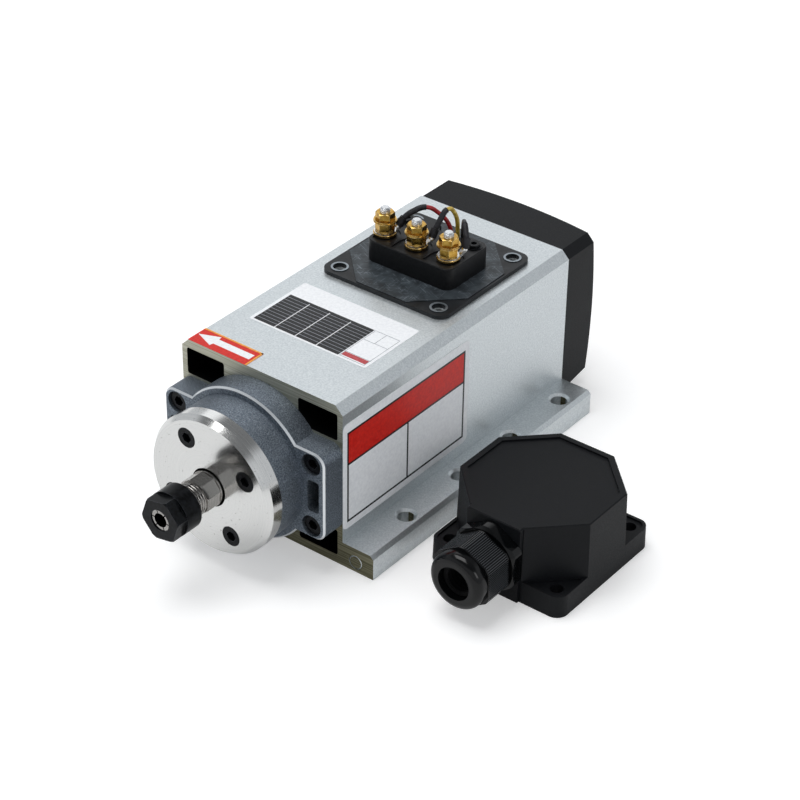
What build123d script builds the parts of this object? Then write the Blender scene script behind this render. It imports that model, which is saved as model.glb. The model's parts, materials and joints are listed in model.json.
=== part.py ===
from build123d import *
from math import cos, pi, radians, sin, sqrt, tan
import os

# Air-cooled motor spindle with a collet nose, on a flanged extruded housing.
# The cover of its terminal box is off and lies beside it.
# Axes: +X to the right seen from the nose, +Y towards the fan, +Z up from the base face.
# Origin: centre of the eight base holes, on the base face. Lengths are in millimetres.

os.makedirs("parts", exist_ok=True)

# Clearances
SEAT = 0.02                # radial gap of a fixed fit
RUNNING = 0.05             # radial gap of a running or screwed fit
AIR_GAP = 0.3              # rotor to stator

# Housing extrusion
HOUSING_WIDTH = 80.0
HOUSING_HEIGHT = 73.0
HOUSING_LENGTH = 148.0
HOUSING_CHAMFER = 3.5
FLANGE_REACH = 15.0        # beyond the housing's side
FLANGE_WIDTH = HOUSING_WIDTH + 2 * FLANGE_REACH
FLANGE_THICKNESS = 11.0
FLANGE_CHAMFER = 1.5
SPINDLE_HEIGHT = HOUSING_HEIGHT / 2
BORE_SIDE_WALL = 10.5
BORE_RADIUS = HOUSING_WIDTH / 2 - BORE_SIDE_WALL
BORE_WALL = 2.8            # bore to air channel
CHANNEL_REACH = 21.5       # from the housing's side inwards
CHANNEL_INNER_X = HOUSING_WIDTH / 2 - CHANNEL_REACH
CHANNEL_HEIGHT = 11.7
CHANNEL_SIDE_WALL = 2.5
CHANNEL_TOP_WALL = 3.9
CHANNEL_CORNER = 1.0
PORT_INSET = 8.6           # small closed ports in the sawn ends of the flange
PORT_X = FLANGE_WIDTH / 2 - PORT_INSET
PORT_HEIGHT = 4.5
PORT_RADIUS = 3.1
PORT_DEPTH = 3.0

# Base holes
HOLE_INSET = 7.0           # from the flange's edge
HOLE_SPAN = FLANGE_WIDTH - 2 * HOLE_INSET
HOLE_PITCH = 35.0
HOLES_PER_SIDE = 4
HOLE_RADIUS = 3.5
HOLE_MOUTH = 1.0
FIRST_HOLE_SETBACK = 29.5

# End screws, the same pattern at both ends
END_SCREW_INSET = 6.4
END_SCREW_X = HOUSING_WIDTH / 2 - END_SCREW_INSET
END_SCREW_OFFSET = 14.2

# Front cap casting
CAP_PLATE = 11.0
CAP_HUB_WALL = 3.1         # beyond the bore
CAP_HUB_RADIUS = BORE_RADIUS + CAP_HUB_WALL
CAP_LUG_HEIGHT = 39.6
CAP_LUG_CORNER = 5.0
CAP_BOSS_RADIUS = BORE_RADIUS + 0.1
CAP_BOSS_LENGTH = 12.5
CAP_SPIGOT_LENGTH = 5.0
CAP_SHAFT_HOLE = 12.5
CAP_SLOT_WIDTH = 5.6
CAP_SLOT_HEIGHT = 14.2
CAP_SLOT_INSET = 5.4
CAP_SLOT_X = HOUSING_WIDTH / 2 - CAP_SLOT_INSET
CAP_SLOT_CORNER = 1.4
CAP_SCREW_SINK = 6.0
CAP_SCREW_BORE = 4.6
CAP_EDGE = 0.7

# Turned front flange
DISC_OVERHANG = 0.4        # beyond the boss
DISC_RADIUS = CAP_BOSS_RADIUS + DISC_OVERHANG
DISC_THICKNESS = 7.5
DISC_CHAMFER_WIDTH = 1.7
DISC_CHAMFER_DEPTH = 2.5
DISC_BORE = 8.2
DISC_SCREW_ANGLE = 30.0
DISC_SCREW_BORE = 4.3
DISC_PILOT_LENGTH = 1.1

# Bearings
FRONT_BEARING_OUTER = 16.0
FRONT_BEARING_INNER = 7.5
FRONT_BEARING_WIDTH = 9.0
DISC_SCREW_INSET = 2.0     # towards the bearing, from midway to the rim
DISC_SCREW_CIRCLE = (FRONT_BEARING_OUTER + DISC_RADIUS) / 2 - DISC_SCREW_INSET
BEARING_SPACER = 2.0
REAR_BEARING_OUTER = 14.0
REAR_BEARING_INNER = 6.0
REAR_BEARING_WIDTH = 8.0
REAR_BEARING_AHEAD = 9.0   # ahead of the housing's rear face
REAR_SHOULDER = 7.0        # length of the shaft's step ahead of the rear bearing
BALLS_PER_BEARING = 8

# Shaft
NOSE_THREAD_RADIUS = 7.0
NOSE_THREAD_CORE = 6.6
NOSE_THREAD_LENGTH = 15.1
NOSE_PROTRUSION = 23.5     # shaft end ahead of the turned flange
SHAFT_RADIUS = 7.5
FLATS_ACROSS = 13.9
FLATS_COUNT = 8
FLATS_LENGTH = 7.3
FLATS_SETBACK = 1.1        # from the turned flange
FLATS_TURN = -8.0          # degrees
CORE_SHAFT_RADIUS = 9.5
FAN_SEAT_RADIUS = 5.0
TOOL_BORE_RADIUS = 3.7
TOOL_BORE_LENGTH = 32.0

# Collet and nut
COLLET_LENGTH = 18.0
COLLET_RADIUS = 5.75
COLLET_TAPER = 8.0         # half angle, degrees
COLLET_FACE_RADIUS = 4.4
COLLET_NOSE = 2.2          # cone ahead of the groove
COLLET_NOSE_ANGLE = 30.0   # half angle, degrees
COLLET_GROOVE_WIDTH = 1.0
COLLET_GROOVE_RADIUS = 4.7
COLLET_BORE = 3.0
COLLET_SLOTS = 6
COLLET_TURN = 7.5          # degrees
COLLET_SLOT_WIDTH = 0.5
COLLET_SLOT_REST = 3.0     # length that each slot leaves uncut
COLLET_PROUD = 3.4         # collet face ahead of the shaft end
NUT_RADIUS = 9.5
NUT_LENGTH = 13.3
NUT_ACROSS_FLATS = 16.4
NUT_HEX_LENGTH = 5.2
NUT_FACE_RADIUS = 8.9
NUT_FACE_CHAMFER = 0.6
NUT_FACE_AHEAD = 0.5       # nut face ahead of the collet face
NUT_TURN = 10.7            # degrees
NUT_GAP = 0.12

# Motor
STACK_START = 28.0
STACK_LENGTH = 70.0
STATOR_INNER = 16.2
STATOR_SLOTS = 12
SLOT_MOUTH = 2.0
SLOT_BACK_WALL = 2.5
SLOT_BOTTOM = BORE_RADIUS - SLOT_BACK_WALL
SLOT_TOP = 18.6
SLOT_WIDTH = 5.2
WINDING_INNER = 17.8
WINDING_OUTER = SLOT_BOTTOM + 1.0
WINDING_FRONT = 14.0
WINDING_REAR = 22.0
CAGE_RING = 5.0
CAGE_VANES = 8
CAGE_VANE_HEIGHT = 5.0

# Rear bracket
BRACKET_THICKNESS = 3.0
BRACKET_SPIGOT_LENGTH = 8.0
BRACKET_SPIGOT_WALL = 3.0
BRACKET_WEB = 3.0
BRACKET_HUB_WALL = 3.5
BRACKET_CLEARANCE = 0.8    # to the fan cover's walls
SPRING_WIDTH = 2.2
SPRING_THICKNESS = 0.4
SPRING_ROOM = 1.4

# Fan and its cover
FAN_GAP = 4.0
FAN_DEPTH = 11.0
FAN_TIP_GAP = 3.0          # to the bore's radius
FAN_RADIUS = BORE_RADIUS - FAN_TIP_GAP
FAN_HUB_RADIUS = 9.0
FAN_BLADES = 9
FAN_BLADE_THICKNESS = 1.4
FAN_BLADE_PITCH = 35.0     # degrees
FAN_SHAFT_END = 2.5
CIRCLIP_THICKNESS = 0.8
CIRCLIP_RADIUS = 6.6
COVER_DEPTH = 25.0
COVER_CROWN = 230.0
COVER_CROWN_HEIGHT = SPINDLE_HEIGHT + 2.5
COVER_INSET = 0.4
COVER_WALL = 2.2
COVER_LIP_HEIGHT = 3.8     # lower edge at the housing
COVER_LIP_SLOPE = 10.2     # degrees
COVER_EDGE = 1.2
GRILLE_SLOT = 2.8
GRILLE_FIRST = 8.0
GRILLE_STEP = 5.4
GRILLE_RINGS = 4
GRILLE_SPOKES = 3
GRILLE_SPOKE_WIDTH = 3.6
COVER_COLUMN_RADIUS = 5.0
COVER_SCREW_SINK = 10.0    # from the crown of the cover

# Screws: head radius, head height, shank radius, key size
CAP_SCREW = (4.25, 5.0, 2.5, 4.0)
DISC_SCREW = (4.2, 4.0, 2.5, 4.0)
COVER_SCREW = (3.5, 4.0, 2.0, 3.0)
BLOCK_SCREW = (2.7, 2.0, 1.6, 2.4)
CAP_SCREW_LENGTH = 15.0
DISC_SCREW_LENGTH = 12.0
COVER_SCREW_LENGTH = 24.0
BLOCK_SCREW_LENGTH = 14.0
KEY_DEPTH = 0.55           # share of the head height

# Terminal plate
PLATE_HOLE_SPAN = 50.0
PLATE_END_MARGIN = 5.75    # from a hole's centre to the edge
PLATE_SIDE_MARGIN = 6.1
PLATE_LENGTH = PLATE_HOLE_SPAN + 2 * PLATE_END_MARGIN
PLATE_WIDTH = PLATE_HOLE_SPAN + 2 * PLATE_SIDE_MARGIN
PLATE_THICKNESS = 1.7
PLATE_CORNER = 5.0
PLATE_HOLE_RADIUS = 2.8
PLATE_HOLE_RIM = 0.9
PLATE_PAD_MARGIN = 5.0
PLATE_PAD_ACROSS = PLATE_HOLE_SPAN + 2 * PLATE_PAD_MARGIN
PLATE_PAD_HEIGHT = 0.3
PLATE_X = 1.1
PLATE_SETBACK = 102.2      # centre of the plate behind the housing's front face
TAPPED_HOLE_RADIUS = 1.7
TAPPED_HOLE_DEPTH = 3.0

# Terminal block
BLOCK_WIDTH = 42.6
BLOCK_LENGTH = 27.6
BLOCK_HEIGHT = 9.6
BLOCK_CORNER = 4.0
BLOCK_X = 1.4
BLOCK_SETBACK = 102.2
BLOCK_RIM = 1.4
BLOCK_RECESS = 0.5
BLOCK_RIB = 1.2
BAY_AHEAD = 1.5            # round end of each bay, ahead of its stud
STUD_BOSS_RADIUS = 3.2
BLOCK_SCREW_INSET = 4.5    # from the block's side
BLOCK_SCREW_BACK = 8.7     # behind the block's centre
BLOCK_SCREW_SINK = 0.6
BLOCK_SCREW_COLLAR = 3.6
LEAD_SLOT_X = 4.4
LEAD_SLOT_LENGTH = 12.8
LEAD_SLOT_WIDTH = 6.0
LEAD_SLOT_BACK = 18.5      # behind the studs

# Studs and what is on them, upwards from the block
STUD_PITCH = 16.05
STUD_X = -0.2              # middle stud
STUD_AHEAD = 5.3           # ahead of the block's centre
STUD_RADIUS = 2.0
STUD_HEAD_RADIUS = 2.8
STUD_HEAD_HEIGHT = 1.5
STUD_TOP = 12.0            # above the block
STUD_CHAMFER = 0.5
WASHER_RADIUS = 4.85
BASE_WASHER_THICKNESS = 0.8
CLAMP_WASHER_THICKNESS = 0.5
LUG_THICKNESS = 0.8
LUG_RING_RADIUS = 4.5
LUG_TONGUE_WIDTH = 3.0
LOWER_NUT_HEIGHT = 4.2
UPPER_NUT_HEIGHT = 3.1
LOWER_NUT_TURNS = (34.0, 41.0, 9.0)   # degrees, from the left stud
UPPER_NUT_TURNS = (35.0, 38.0, 26.0)
NUT_ACROSS = 7.0
NUT_BEVEL = 0.5

# Leads: wire, crimped barrel of the lug and heat-shrink sleeve
WIRE_RADIUS = 0.9
SLEEVE_WALL = 0.3
BARREL_RADIUS = 1.4
BARREL_LENGTH = 3.4
SLEEVE_START = 0.9
WIRE_IN_WINDING = 2.0

# Loose terminal cover
CAP_BOX_MARGIN = 6.2       # from an ear hole's centre to the edge of the base
CAP_BOX_ACROSS = PLATE_HOLE_SPAN + 2 * CAP_BOX_MARGIN
CAP_BOX_HEIGHT = 34.2
CAP_BOX_DRAFT = 1.6        # degrees
CAP_BOX_WALL = 3.0         # at the lid
CAP_BOX_GAP = 7.6          # to the flange
CAP_BOX_X = FLANGE_WIDTH / 2 + CAP_BOX_GAP + CAP_BOX_ACROSS / 2
CAP_BOX_SETBACK = 55.5
EAR_HEIGHT = 9.6
EAR_CORNER = 5.0
EAR_HOLE_RADIUS = 2.7
EAR_RIM = 1.6
EAR_RECESS = 0.8
LID_RIM = 2.7
LID_RECESS = 0.8
LID_EDGE = 0.4
GLAND_PAD_WIDTH = 24.5
GLAND_PAD_PROUD = 1.1
GASKET_WIDTH = 1.6
GASKET_HEIGHT = 2.0

# Cable gland
GLAND_HEIGHT = 18.1
GLAND_ENTRY_RADIUS = 8.0
GLAND_ENTRY_REACH = 6.0    # thread inside the wall
GLAND_HEX = 27.0
GLAND_HEX_LENGTH = 5.5
GLAND_NECK_RADIUS = 11.0
GLAND_NECK_LENGTH = 10.0
GLAND_BORE = 6.7
LOCKNUT_HEX = 19.0
LOCKNUT_LENGTH = 3.5
DOME_RADIUS = 12.0
DOME_LENGTH = 18.5
DOME_SKIRT = 13.2          # gripped part
DOME_FLATS = 24.4
DOME_CORNERS = 13.4        # radius over the skirt's corners
DOME_TURN = 3.5            # degrees
DOME_MOUTH = 7.1
DOME_ROUND = 3.2
DOME_GAP = 0.6             # to the hexagon when tight
GROOVE_COUNT = 96
GROOVE_RADIUS = 0.28
GROOVE_SINK = 0.1
GROOVE_MARGIN = 0.6        # to the ends of the skirt
SEAL_BORE = 5.5
SEAL_FLANGE = 10.5
SEAL_FLANGE_LENGTH = 2.6
SEAL_LENGTH = 9.0
SEAL_GAP = 0.25

# Places worked out from the dimensions
FRONT_Y = -(FIRST_HOLE_SETBACK + (HOLES_PER_SIDE - 1) / 2 * HOLE_PITCH)
REAR_Y = FRONT_Y + HOUSING_LENGTH
CAP_FRONT_Y = FRONT_Y - CAP_PLATE
BOSS_FRONT_Y = CAP_FRONT_Y - CAP_BOSS_LENGTH
DISC_FRONT_Y = BOSS_FRONT_Y - DISC_THICKNESS
SHAFT_FRONT_Y = DISC_FRONT_Y - NOSE_PROTRUSION
BEARINGS_Y = BOSS_FRONT_Y + DISC_PILOT_LENGTH
BEARINGS_END_Y = BEARINGS_Y + 2 * FRONT_BEARING_WIDTH + BEARING_SPACER
REAR_BEARING_Y = REAR_Y - REAR_BEARING_AHEAD
REAR_BEARING_END_Y = REAR_BEARING_Y + REAR_BEARING_WIDTH
STACK_Y = FRONT_Y + STACK_START
STACK_END_Y = STACK_Y + STACK_LENGTH
BRACKET_BACK_Y = REAR_Y + BRACKET_THICKNESS
FAN_Y = BRACKET_BACK_Y + FAN_GAP
FAN_END_Y = FAN_Y + FAN_DEPTH
SHAFT_END_Y = FAN_END_Y + FAN_SHAFT_END
COVER_BACK_Y = REAR_Y + COVER_DEPTH
PLATE_Y = FRONT_Y + PLATE_SETBACK
PLATE_TOP = HOUSING_HEIGHT + PLATE_THICKNESS
BLOCK_BASE = PLATE_TOP + PLATE_PAD_HEIGHT
BLOCK_TOP = BLOCK_BASE + BLOCK_HEIGHT
BLOCK_Y = FRONT_Y + BLOCK_SETBACK
STUD_Y = BLOCK_Y - STUD_AHEAD
STUD_XS = (STUD_X - STUD_PITCH, STUD_X, STUD_X + STUD_PITCH)
LEAD_SLOT_Y = STUD_Y + LEAD_SLOT_BACK
CAP_BOX_Y = FRONT_Y + CAP_BOX_SETBACK
GLAND_FACE_Y = CAP_BOX_Y - CAP_BOX_ACROSS / 2 - GLAND_PAD_PROUD
END_SCREW_PLACES = [
    (x, SPINDLE_HEIGHT + z)
    for x in (-END_SCREW_X, END_SCREW_X)
    for z in (-END_SCREW_OFFSET, END_SCREW_OFFSET)
]


# Shared helpers

def along_y(outline, y_from, y_to):
    """Extrude an outline drawn in (x, z) from y_from to y_to."""
    return extrude(Pos(0, y_to, 0) * Rot(90, 0, 0) * outline, y_to - y_from)


def rod(radius, y_from, y_to, x=0.0, z=SPINDLE_HEIGHT):
    """Round bar along Y."""
    return along_y(Pos(x, z) * Circle(radius), y_from, y_to)


def turned(points, x=0.0, z=SPINDLE_HEIGHT):
    """Ring or shaft turned about an axis along Y, from (radius, y) points."""
    profile = make_face(Polyline(*points, close=True))
    return Pos(x, 0, z) * revolve(profile, Axis.Y)


def upright(outline, z_from, z_to):
    """Extrude an outline drawn in (x, y) from z_from to z_to."""
    return extrude(Pos(0, 0, z_from) * outline, z_to - z_from)


def group(solids):
    """One node of several separate solids."""
    return Compound(children=[s for piece in solids for s in piece.solids()])


def screw(sizes, length):
    """Socket screw along Z: the head stands on z = 0 and the shank hangs below it."""
    head_radius, head_height, shank_radius, key = sizes
    head = Cylinder(head_radius, head_height, align=(Align.CENTER, Align.CENTER, Align.MIN))
    head = chamfer(head.edges().group_by(Axis.Z)[-1], 0.3)
    shank = Cylinder(shank_radius, length, align=(Align.CENTER, Align.CENTER, Align.MAX))
    socket = RegularPolygon(key / 2, 6, major_radius=False)
    depth = KEY_DEPTH * head_height
    return head + shank - upright(socket, head_height - depth, head_height)


def octagon(across):
    """Regular octagon with flats square to the axes."""
    return Rot(0, 0, 22.5) * RegularPolygon(across / 2, 8, major_radius=False)


# Housing extrusion

half = HOUSING_WIDTH / 2
flange_half = FLANGE_WIDTH / 2
right_outline = [
    (flange_half, 0),
    (flange_half, FLANGE_THICKNESS - FLANGE_CHAMFER),
    (flange_half - FLANGE_CHAMFER, FLANGE_THICKNESS),
    (half, FLANGE_THICKNESS),
    (half, HOUSING_HEIGHT - HOUSING_CHAMFER),
    (half - HOUSING_CHAMFER, HOUSING_HEIGHT),
]
left_outline = [(-x, z) for x, z in reversed(right_outline)]
section = make_face(Polyline(*right_outline, *left_outline, close=True))
section -= Pos(0, SPINDLE_HEIGHT) * Circle(BORE_RADIUS)

channel_outer_x = half - CHANNEL_SIDE_WALL
channel_outer_z = HOUSING_HEIGHT - CHANNEL_TOP_WALL - SPINDLE_HEIGHT
channel = Pos((CHANNEL_INNER_X + channel_outer_x) / 2, channel_outer_z - CHANNEL_HEIGHT / 2)
channel = channel * Rectangle(channel_outer_x - CHANNEL_INNER_X, CHANNEL_HEIGHT)
channel -= Circle(BORE_RADIUS + BORE_WALL)
channel = fillet(channel.vertices(), CHANNEL_CORNER)
side_slot = RectangleRounded(CAP_SLOT_WIDTH, CAP_SLOT_HEIGHT, CAP_SLOT_CORNER)
side_slots = [Pos(x, SPINDLE_HEIGHT) * side_slot for x in (-CAP_SLOT_X, CAP_SLOT_X)]
for side in (channel, mirror(channel, Plane.YZ)):
    for corner in (side, mirror(side, Plane.XZ)):
        section -= Pos(0, SPINDLE_HEIGHT) * corner
section -= side_slots

housing = along_y(section, FRONT_Y, REAR_Y)
hole_steps = [(i - (HOLES_PER_SIDE - 1) / 2) * HOLE_PITCH for i in range(HOLES_PER_SIDE)]
hole_places = [(x, y) for x in (-HOLE_SPAN / 2, HOLE_SPAN / 2) for y in hole_steps]
hole_tool = Cylinder(HOLE_RADIUS, 3 * FLANGE_THICKNESS)
hole_tool += Pos(0, 0, FLANGE_THICKNESS) * Cone(
    HOLE_RADIUS, HOLE_RADIUS + 2 * HOLE_MOUTH, 2 * HOLE_MOUTH
)
housing -= [Pos(x, y, 0) * hole_tool for x, y in hole_places]

cap_thread_end = FRONT_Y + CAP_SCREW_LENGTH - (CAP_PLATE - CAP_SCREW_SINK) + 2
cover_seat_y = COVER_BACK_Y - COVER_SCREW_SINK
cover_thread_end = cover_seat_y - COVER_SCREW_LENGTH - 2
housing -= [
    rod(CAP_SCREW[2] + SEAT, FRONT_Y, cap_thread_end, x, z) for x, z in END_SCREW_PLACES
]
housing -= [
    rod(COVER_SCREW[2] + SEAT, cover_thread_end, REAR_Y, x, z) for x, z in END_SCREW_PLACES
]
housing -= [
    rod(PORT_RADIUS, FRONT_Y, FRONT_Y + PORT_DEPTH, x, PORT_HEIGHT) for x in (-PORT_X, PORT_X)
]

lead_slot = Pos(LEAD_SLOT_X, LEAD_SLOT_Y) * SlotOverall(LEAD_SLOT_LENGTH, LEAD_SLOT_WIDTH)
plate_holes = [
    (PLATE_X + x, PLATE_Y + y)
    for x in (-PLATE_HOLE_SPAN / 2, PLATE_HOLE_SPAN / 2)
    for y in (-PLATE_HOLE_SPAN / 2, PLATE_HOLE_SPAN / 2)
]
block_screw_reach = BLOCK_WIDTH / 2 - BLOCK_SCREW_INSET
block_screw_places = [
    (BLOCK_X + x, BLOCK_Y + BLOCK_SCREW_BACK) for x in (-block_screw_reach, block_screw_reach)
]
block_screw_seat = BLOCK_TOP - BLOCK_SCREW_SINK
block_thread_end = block_screw_seat - BLOCK_SCREW_LENGTH - 0.5
housing -= upright(lead_slot, SPINDLE_HEIGHT, HOUSING_HEIGHT)
housing -= [
    Pos(x, y) * upright(Circle(TAPPED_HOLE_RADIUS), HOUSING_HEIGHT - TAPPED_HOLE_DEPTH, HOUSING_HEIGHT)
    for x, y in plate_holes
]
housing -= [
    Pos(x, y) * upright(Circle(BLOCK_SCREW[2] + SEAT), block_thread_end, HOUSING_HEIGHT)
    for x, y in block_screw_places
]

port_plug = rod(PORT_RADIUS - 0.15, FRONT_Y, FRONT_Y + PORT_DEPTH, PORT_X, PORT_HEIGHT)
port_plug = chamfer(port_plug.edges().group_by(Axis.Y)[0], 0.25)
port_plugs = group([port_plug, mirror(port_plug, Plane.YZ)])

# Front cap casting

lug_plate = Pos(0, SPINDLE_HEIGHT) * RectangleRounded(
    HOUSING_WIDTH, CAP_LUG_HEIGHT, CAP_LUG_CORNER
)
hub = Pos(0, SPINDLE_HEIGHT) * Circle(CAP_HUB_RADIUS)
front_cap = along_y(lug_plate + hub - side_slots, CAP_FRONT_Y, FRONT_Y)
front_cap = chamfer(front_cap.faces().sort_by(Axis.Y)[0].outer_wire().edges(), CAP_EDGE)
front_cap += rod(CAP_BOSS_RADIUS, BOSS_FRONT_Y, CAP_FRONT_Y)
front_cap += rod(BORE_RADIUS - SEAT, FRONT_Y, FRONT_Y + CAP_SPIGOT_LENGTH)
front_cap -= rod(FRONT_BEARING_OUTER + SEAT, BOSS_FRONT_Y, BEARINGS_END_Y)
front_cap -= rod(CAP_SHAFT_HOLE, BEARINGS_END_Y, FRONT_Y + CAP_SPIGOT_LENGTH)
cap_seat_y = CAP_FRONT_Y + CAP_SCREW_SINK
front_cap -= [rod(CAP_SCREW_BORE, CAP_FRONT_Y, cap_seat_y, x, z) for x, z in END_SCREW_PLACES]
front_cap -= [rod(CAP_SCREW[2] + SEAT, cap_seat_y, FRONT_Y, x, z) for x, z in END_SCREW_PLACES]
disc_screw_places = [
    (
        DISC_SCREW_CIRCLE * cos(radians(DISC_SCREW_ANGLE + 90 * i)),
        SPINDLE_HEIGHT + DISC_SCREW_CIRCLE * sin(radians(DISC_SCREW_ANGLE + 90 * i)),
    )
    for i in range(4)
]
disc_seat_y = DISC_FRONT_Y + DISC_SCREW[1]
disc_thread_end = disc_seat_y + DISC_SCREW_LENGTH + 1
front_cap -= [
    rod(DISC_SCREW[2] + SEAT, BOSS_FRONT_Y, disc_thread_end, x, z) for x, z in disc_screw_places
]
cap_screw = Rot(90, 0, 0) * screw(CAP_SCREW, CAP_SCREW_LENGTH)
cap_screws = group([Pos(x, cap_seat_y, z) * cap_screw for x, z in END_SCREW_PLACES])

# Turned front flange with its screws

front_flange = turned([
    (DISC_BORE, DISC_FRONT_Y),
    (DISC_RADIUS - DISC_CHAMFER_WIDTH, DISC_FRONT_Y),
    (DISC_RADIUS, DISC_FRONT_Y + DISC_CHAMFER_DEPTH),
    (DISC_RADIUS, BOSS_FRONT_Y),
    (FRONT_BEARING_OUTER - SEAT, BOSS_FRONT_Y),
    (FRONT_BEARING_OUTER - SEAT, BEARINGS_Y),
    (FRONT_BEARING_OUTER - 2, BEARINGS_Y),
    (FRONT_BEARING_OUTER - 2, BOSS_FRONT_Y),
    (DISC_BORE, BOSS_FRONT_Y),
])
front_flange -= [rod(DISC_SCREW_BORE, DISC_FRONT_Y, disc_seat_y, x, z) for x, z in disc_screw_places]
front_flange -= [
    rod(DISC_SCREW[2] + SEAT, disc_seat_y, BOSS_FRONT_Y, x, z) for x, z in disc_screw_places
]
disc_screw = Rot(90, 0, 0) * screw(DISC_SCREW, DISC_SCREW_LENGTH)
flange_screws = group([Pos(x, disc_seat_y, z) * disc_screw for x, z in disc_screw_places])


# Bearings

def bearing(outer, inner, width, y):
    """Outer ring, inner ring and balls of a deep-groove bearing."""
    wall = (outer - inner) * 0.3
    pitch = (outer + inner) / 2
    ball_radius = (outer - inner) * 0.28
    raceway = Pos(pitch, y + width / 2) * Circle(ball_radius + RUNNING)
    rings = []
    for low, high in ((outer - wall, outer), (inner + SEAT, inner + wall)):
        ring = Pos((low + high) / 2, y + width / 2) * Rectangle(high - low, width)
        ring = chamfer(ring.vertices(), 0.3)
        rings.append(Pos(0, 0, SPINDLE_HEIGHT) * revolve(ring - raceway, Axis.Y))
    ball = Pos(pitch, y + width / 2, 0) * Sphere(ball_radius)
    balls = [
        Pos(0, 0, SPINDLE_HEIGHT) * Rot(0, i * 360 / BALLS_PER_BEARING, 0) * ball
        for i in range(BALLS_PER_BEARING)
    ]
    return rings[0], rings[1], balls


second_y = BEARINGS_Y + FRONT_BEARING_WIDTH + BEARING_SPACER
front_sizes = (FRONT_BEARING_OUTER, FRONT_BEARING_INNER, FRONT_BEARING_WIDTH)
first_outer, first_inner, first_balls = bearing(*front_sizes, BEARINGS_Y)
second_outer, second_inner, second_balls = bearing(*front_sizes, second_y)
rear_outer, rear_inner, rear_balls = bearing(
    REAR_BEARING_OUTER, REAR_BEARING_INNER, REAR_BEARING_WIDTH, REAR_BEARING_Y
)
front_outer_rings = group([first_outer, second_outer])
front_inner_rings = group([first_inner, second_inner])
front_balls = group(first_balls + second_balls)
rear_ball_set = group(rear_balls)
spacer_y = BEARINGS_Y + FRONT_BEARING_WIDTH
outer_spacer = rod(FRONT_BEARING_OUTER, spacer_y, second_y)
outer_spacer -= rod(FRONT_BEARING_OUTER - 2.2, spacer_y, second_y)
inner_spacer = rod(FRONT_BEARING_INNER + 2.2, spacer_y, second_y)
inner_spacer -= rod(FRONT_BEARING_INNER + SEAT, spacer_y, second_y)

# Stator and rotor

lamination = Circle(BORE_RADIUS - SEAT) - Circle(STATOR_INNER)
slot_cut = Pos((SLOT_TOP + SLOT_BOTTOM) / 2, 0) * Rectangle(SLOT_BOTTOM - SLOT_TOP, SLOT_WIDTH)
mouth_length = SLOT_TOP - STATOR_INNER + 1
mouth_cut = Pos(SLOT_TOP - mouth_length / 2, 0) * Rectangle(mouth_length, SLOT_MOUTH)
slot_turns = [i * 360 / STATOR_SLOTS for i in range(STATOR_SLOTS)]
lamination -= [Rot(0, 0, turn) * (slot_cut + mouth_cut) for turn in slot_turns]
stator_core = along_y(Pos(0, SPINDLE_HEIGHT) * lamination, STACK_Y, STACK_END_Y)

coil_end = Pos(0, SPINDLE_HEIGHT) * (Circle(WINDING_OUTER) - Circle(WINDING_INNER))
coil_bar = Pos((SLOT_TOP + SLOT_BOTTOM) / 2, 0) * Rectangle(
    SLOT_BOTTOM - SLOT_TOP - 2 * SEAT, SLOT_WIDTH - 2 * SEAT
)
stator_winding = Part() + along_y(coil_end, STACK_Y - WINDING_FRONT, STACK_Y)
stator_winding += along_y(coil_end, STACK_END_Y, STACK_END_Y + WINDING_REAR)
for edge_group in (0, -1):
    rims = stator_winding.edges().filter_by(GeomType.CIRCLE).group_by(Axis.Y)[edge_group]
    stator_winding = fillet(rims, 2)
stator_winding += [
    along_y(Pos(0, SPINDLE_HEIGHT) * Rot(0, 0, turn) * coil_bar, STACK_Y, STACK_END_Y)
    for turn in slot_turns
]

rotor_radius = STATOR_INNER - AIR_GAP
rotor_core = rod(rotor_radius, STACK_Y, STACK_END_Y)
rotor_core -= rod(CORE_SHAFT_RADIUS + SEAT, STACK_Y, STACK_END_Y)
cage_ring = Circle(rotor_radius - 0.4) - Circle(CORE_SHAFT_RADIUS + 1.5)
vane = Pos((rotor_radius + CORE_SHAFT_RADIUS) / 2 + 0.5, 0) * Rectangle(
    rotor_radius - CORE_SHAFT_RADIUS - 3, 1.4
)
vanes = Sketch() + [Rot(0, 0, i * 360 / CAGE_VANES) * vane for i in range(CAGE_VANES)]
cage_ring = Pos(0, SPINDLE_HEIGHT) * cage_ring
vanes = Pos(0, SPINDLE_HEIGHT) * vanes
front_ring_y = STACK_Y - CAGE_RING
rear_ring_y = STACK_END_Y + CAGE_RING
front_ring = along_y(cage_ring, front_ring_y, STACK_Y)
front_ring += along_y(vanes, front_ring_y - CAGE_VANE_HEIGHT, front_ring_y)
rear_ring = along_y(cage_ring, STACK_END_Y, rear_ring_y)
rear_ring += along_y(vanes, rear_ring_y, rear_ring_y + CAGE_VANE_HEIGHT)
rotor_cage = group([front_ring, rear_ring])

# Shaft

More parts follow.
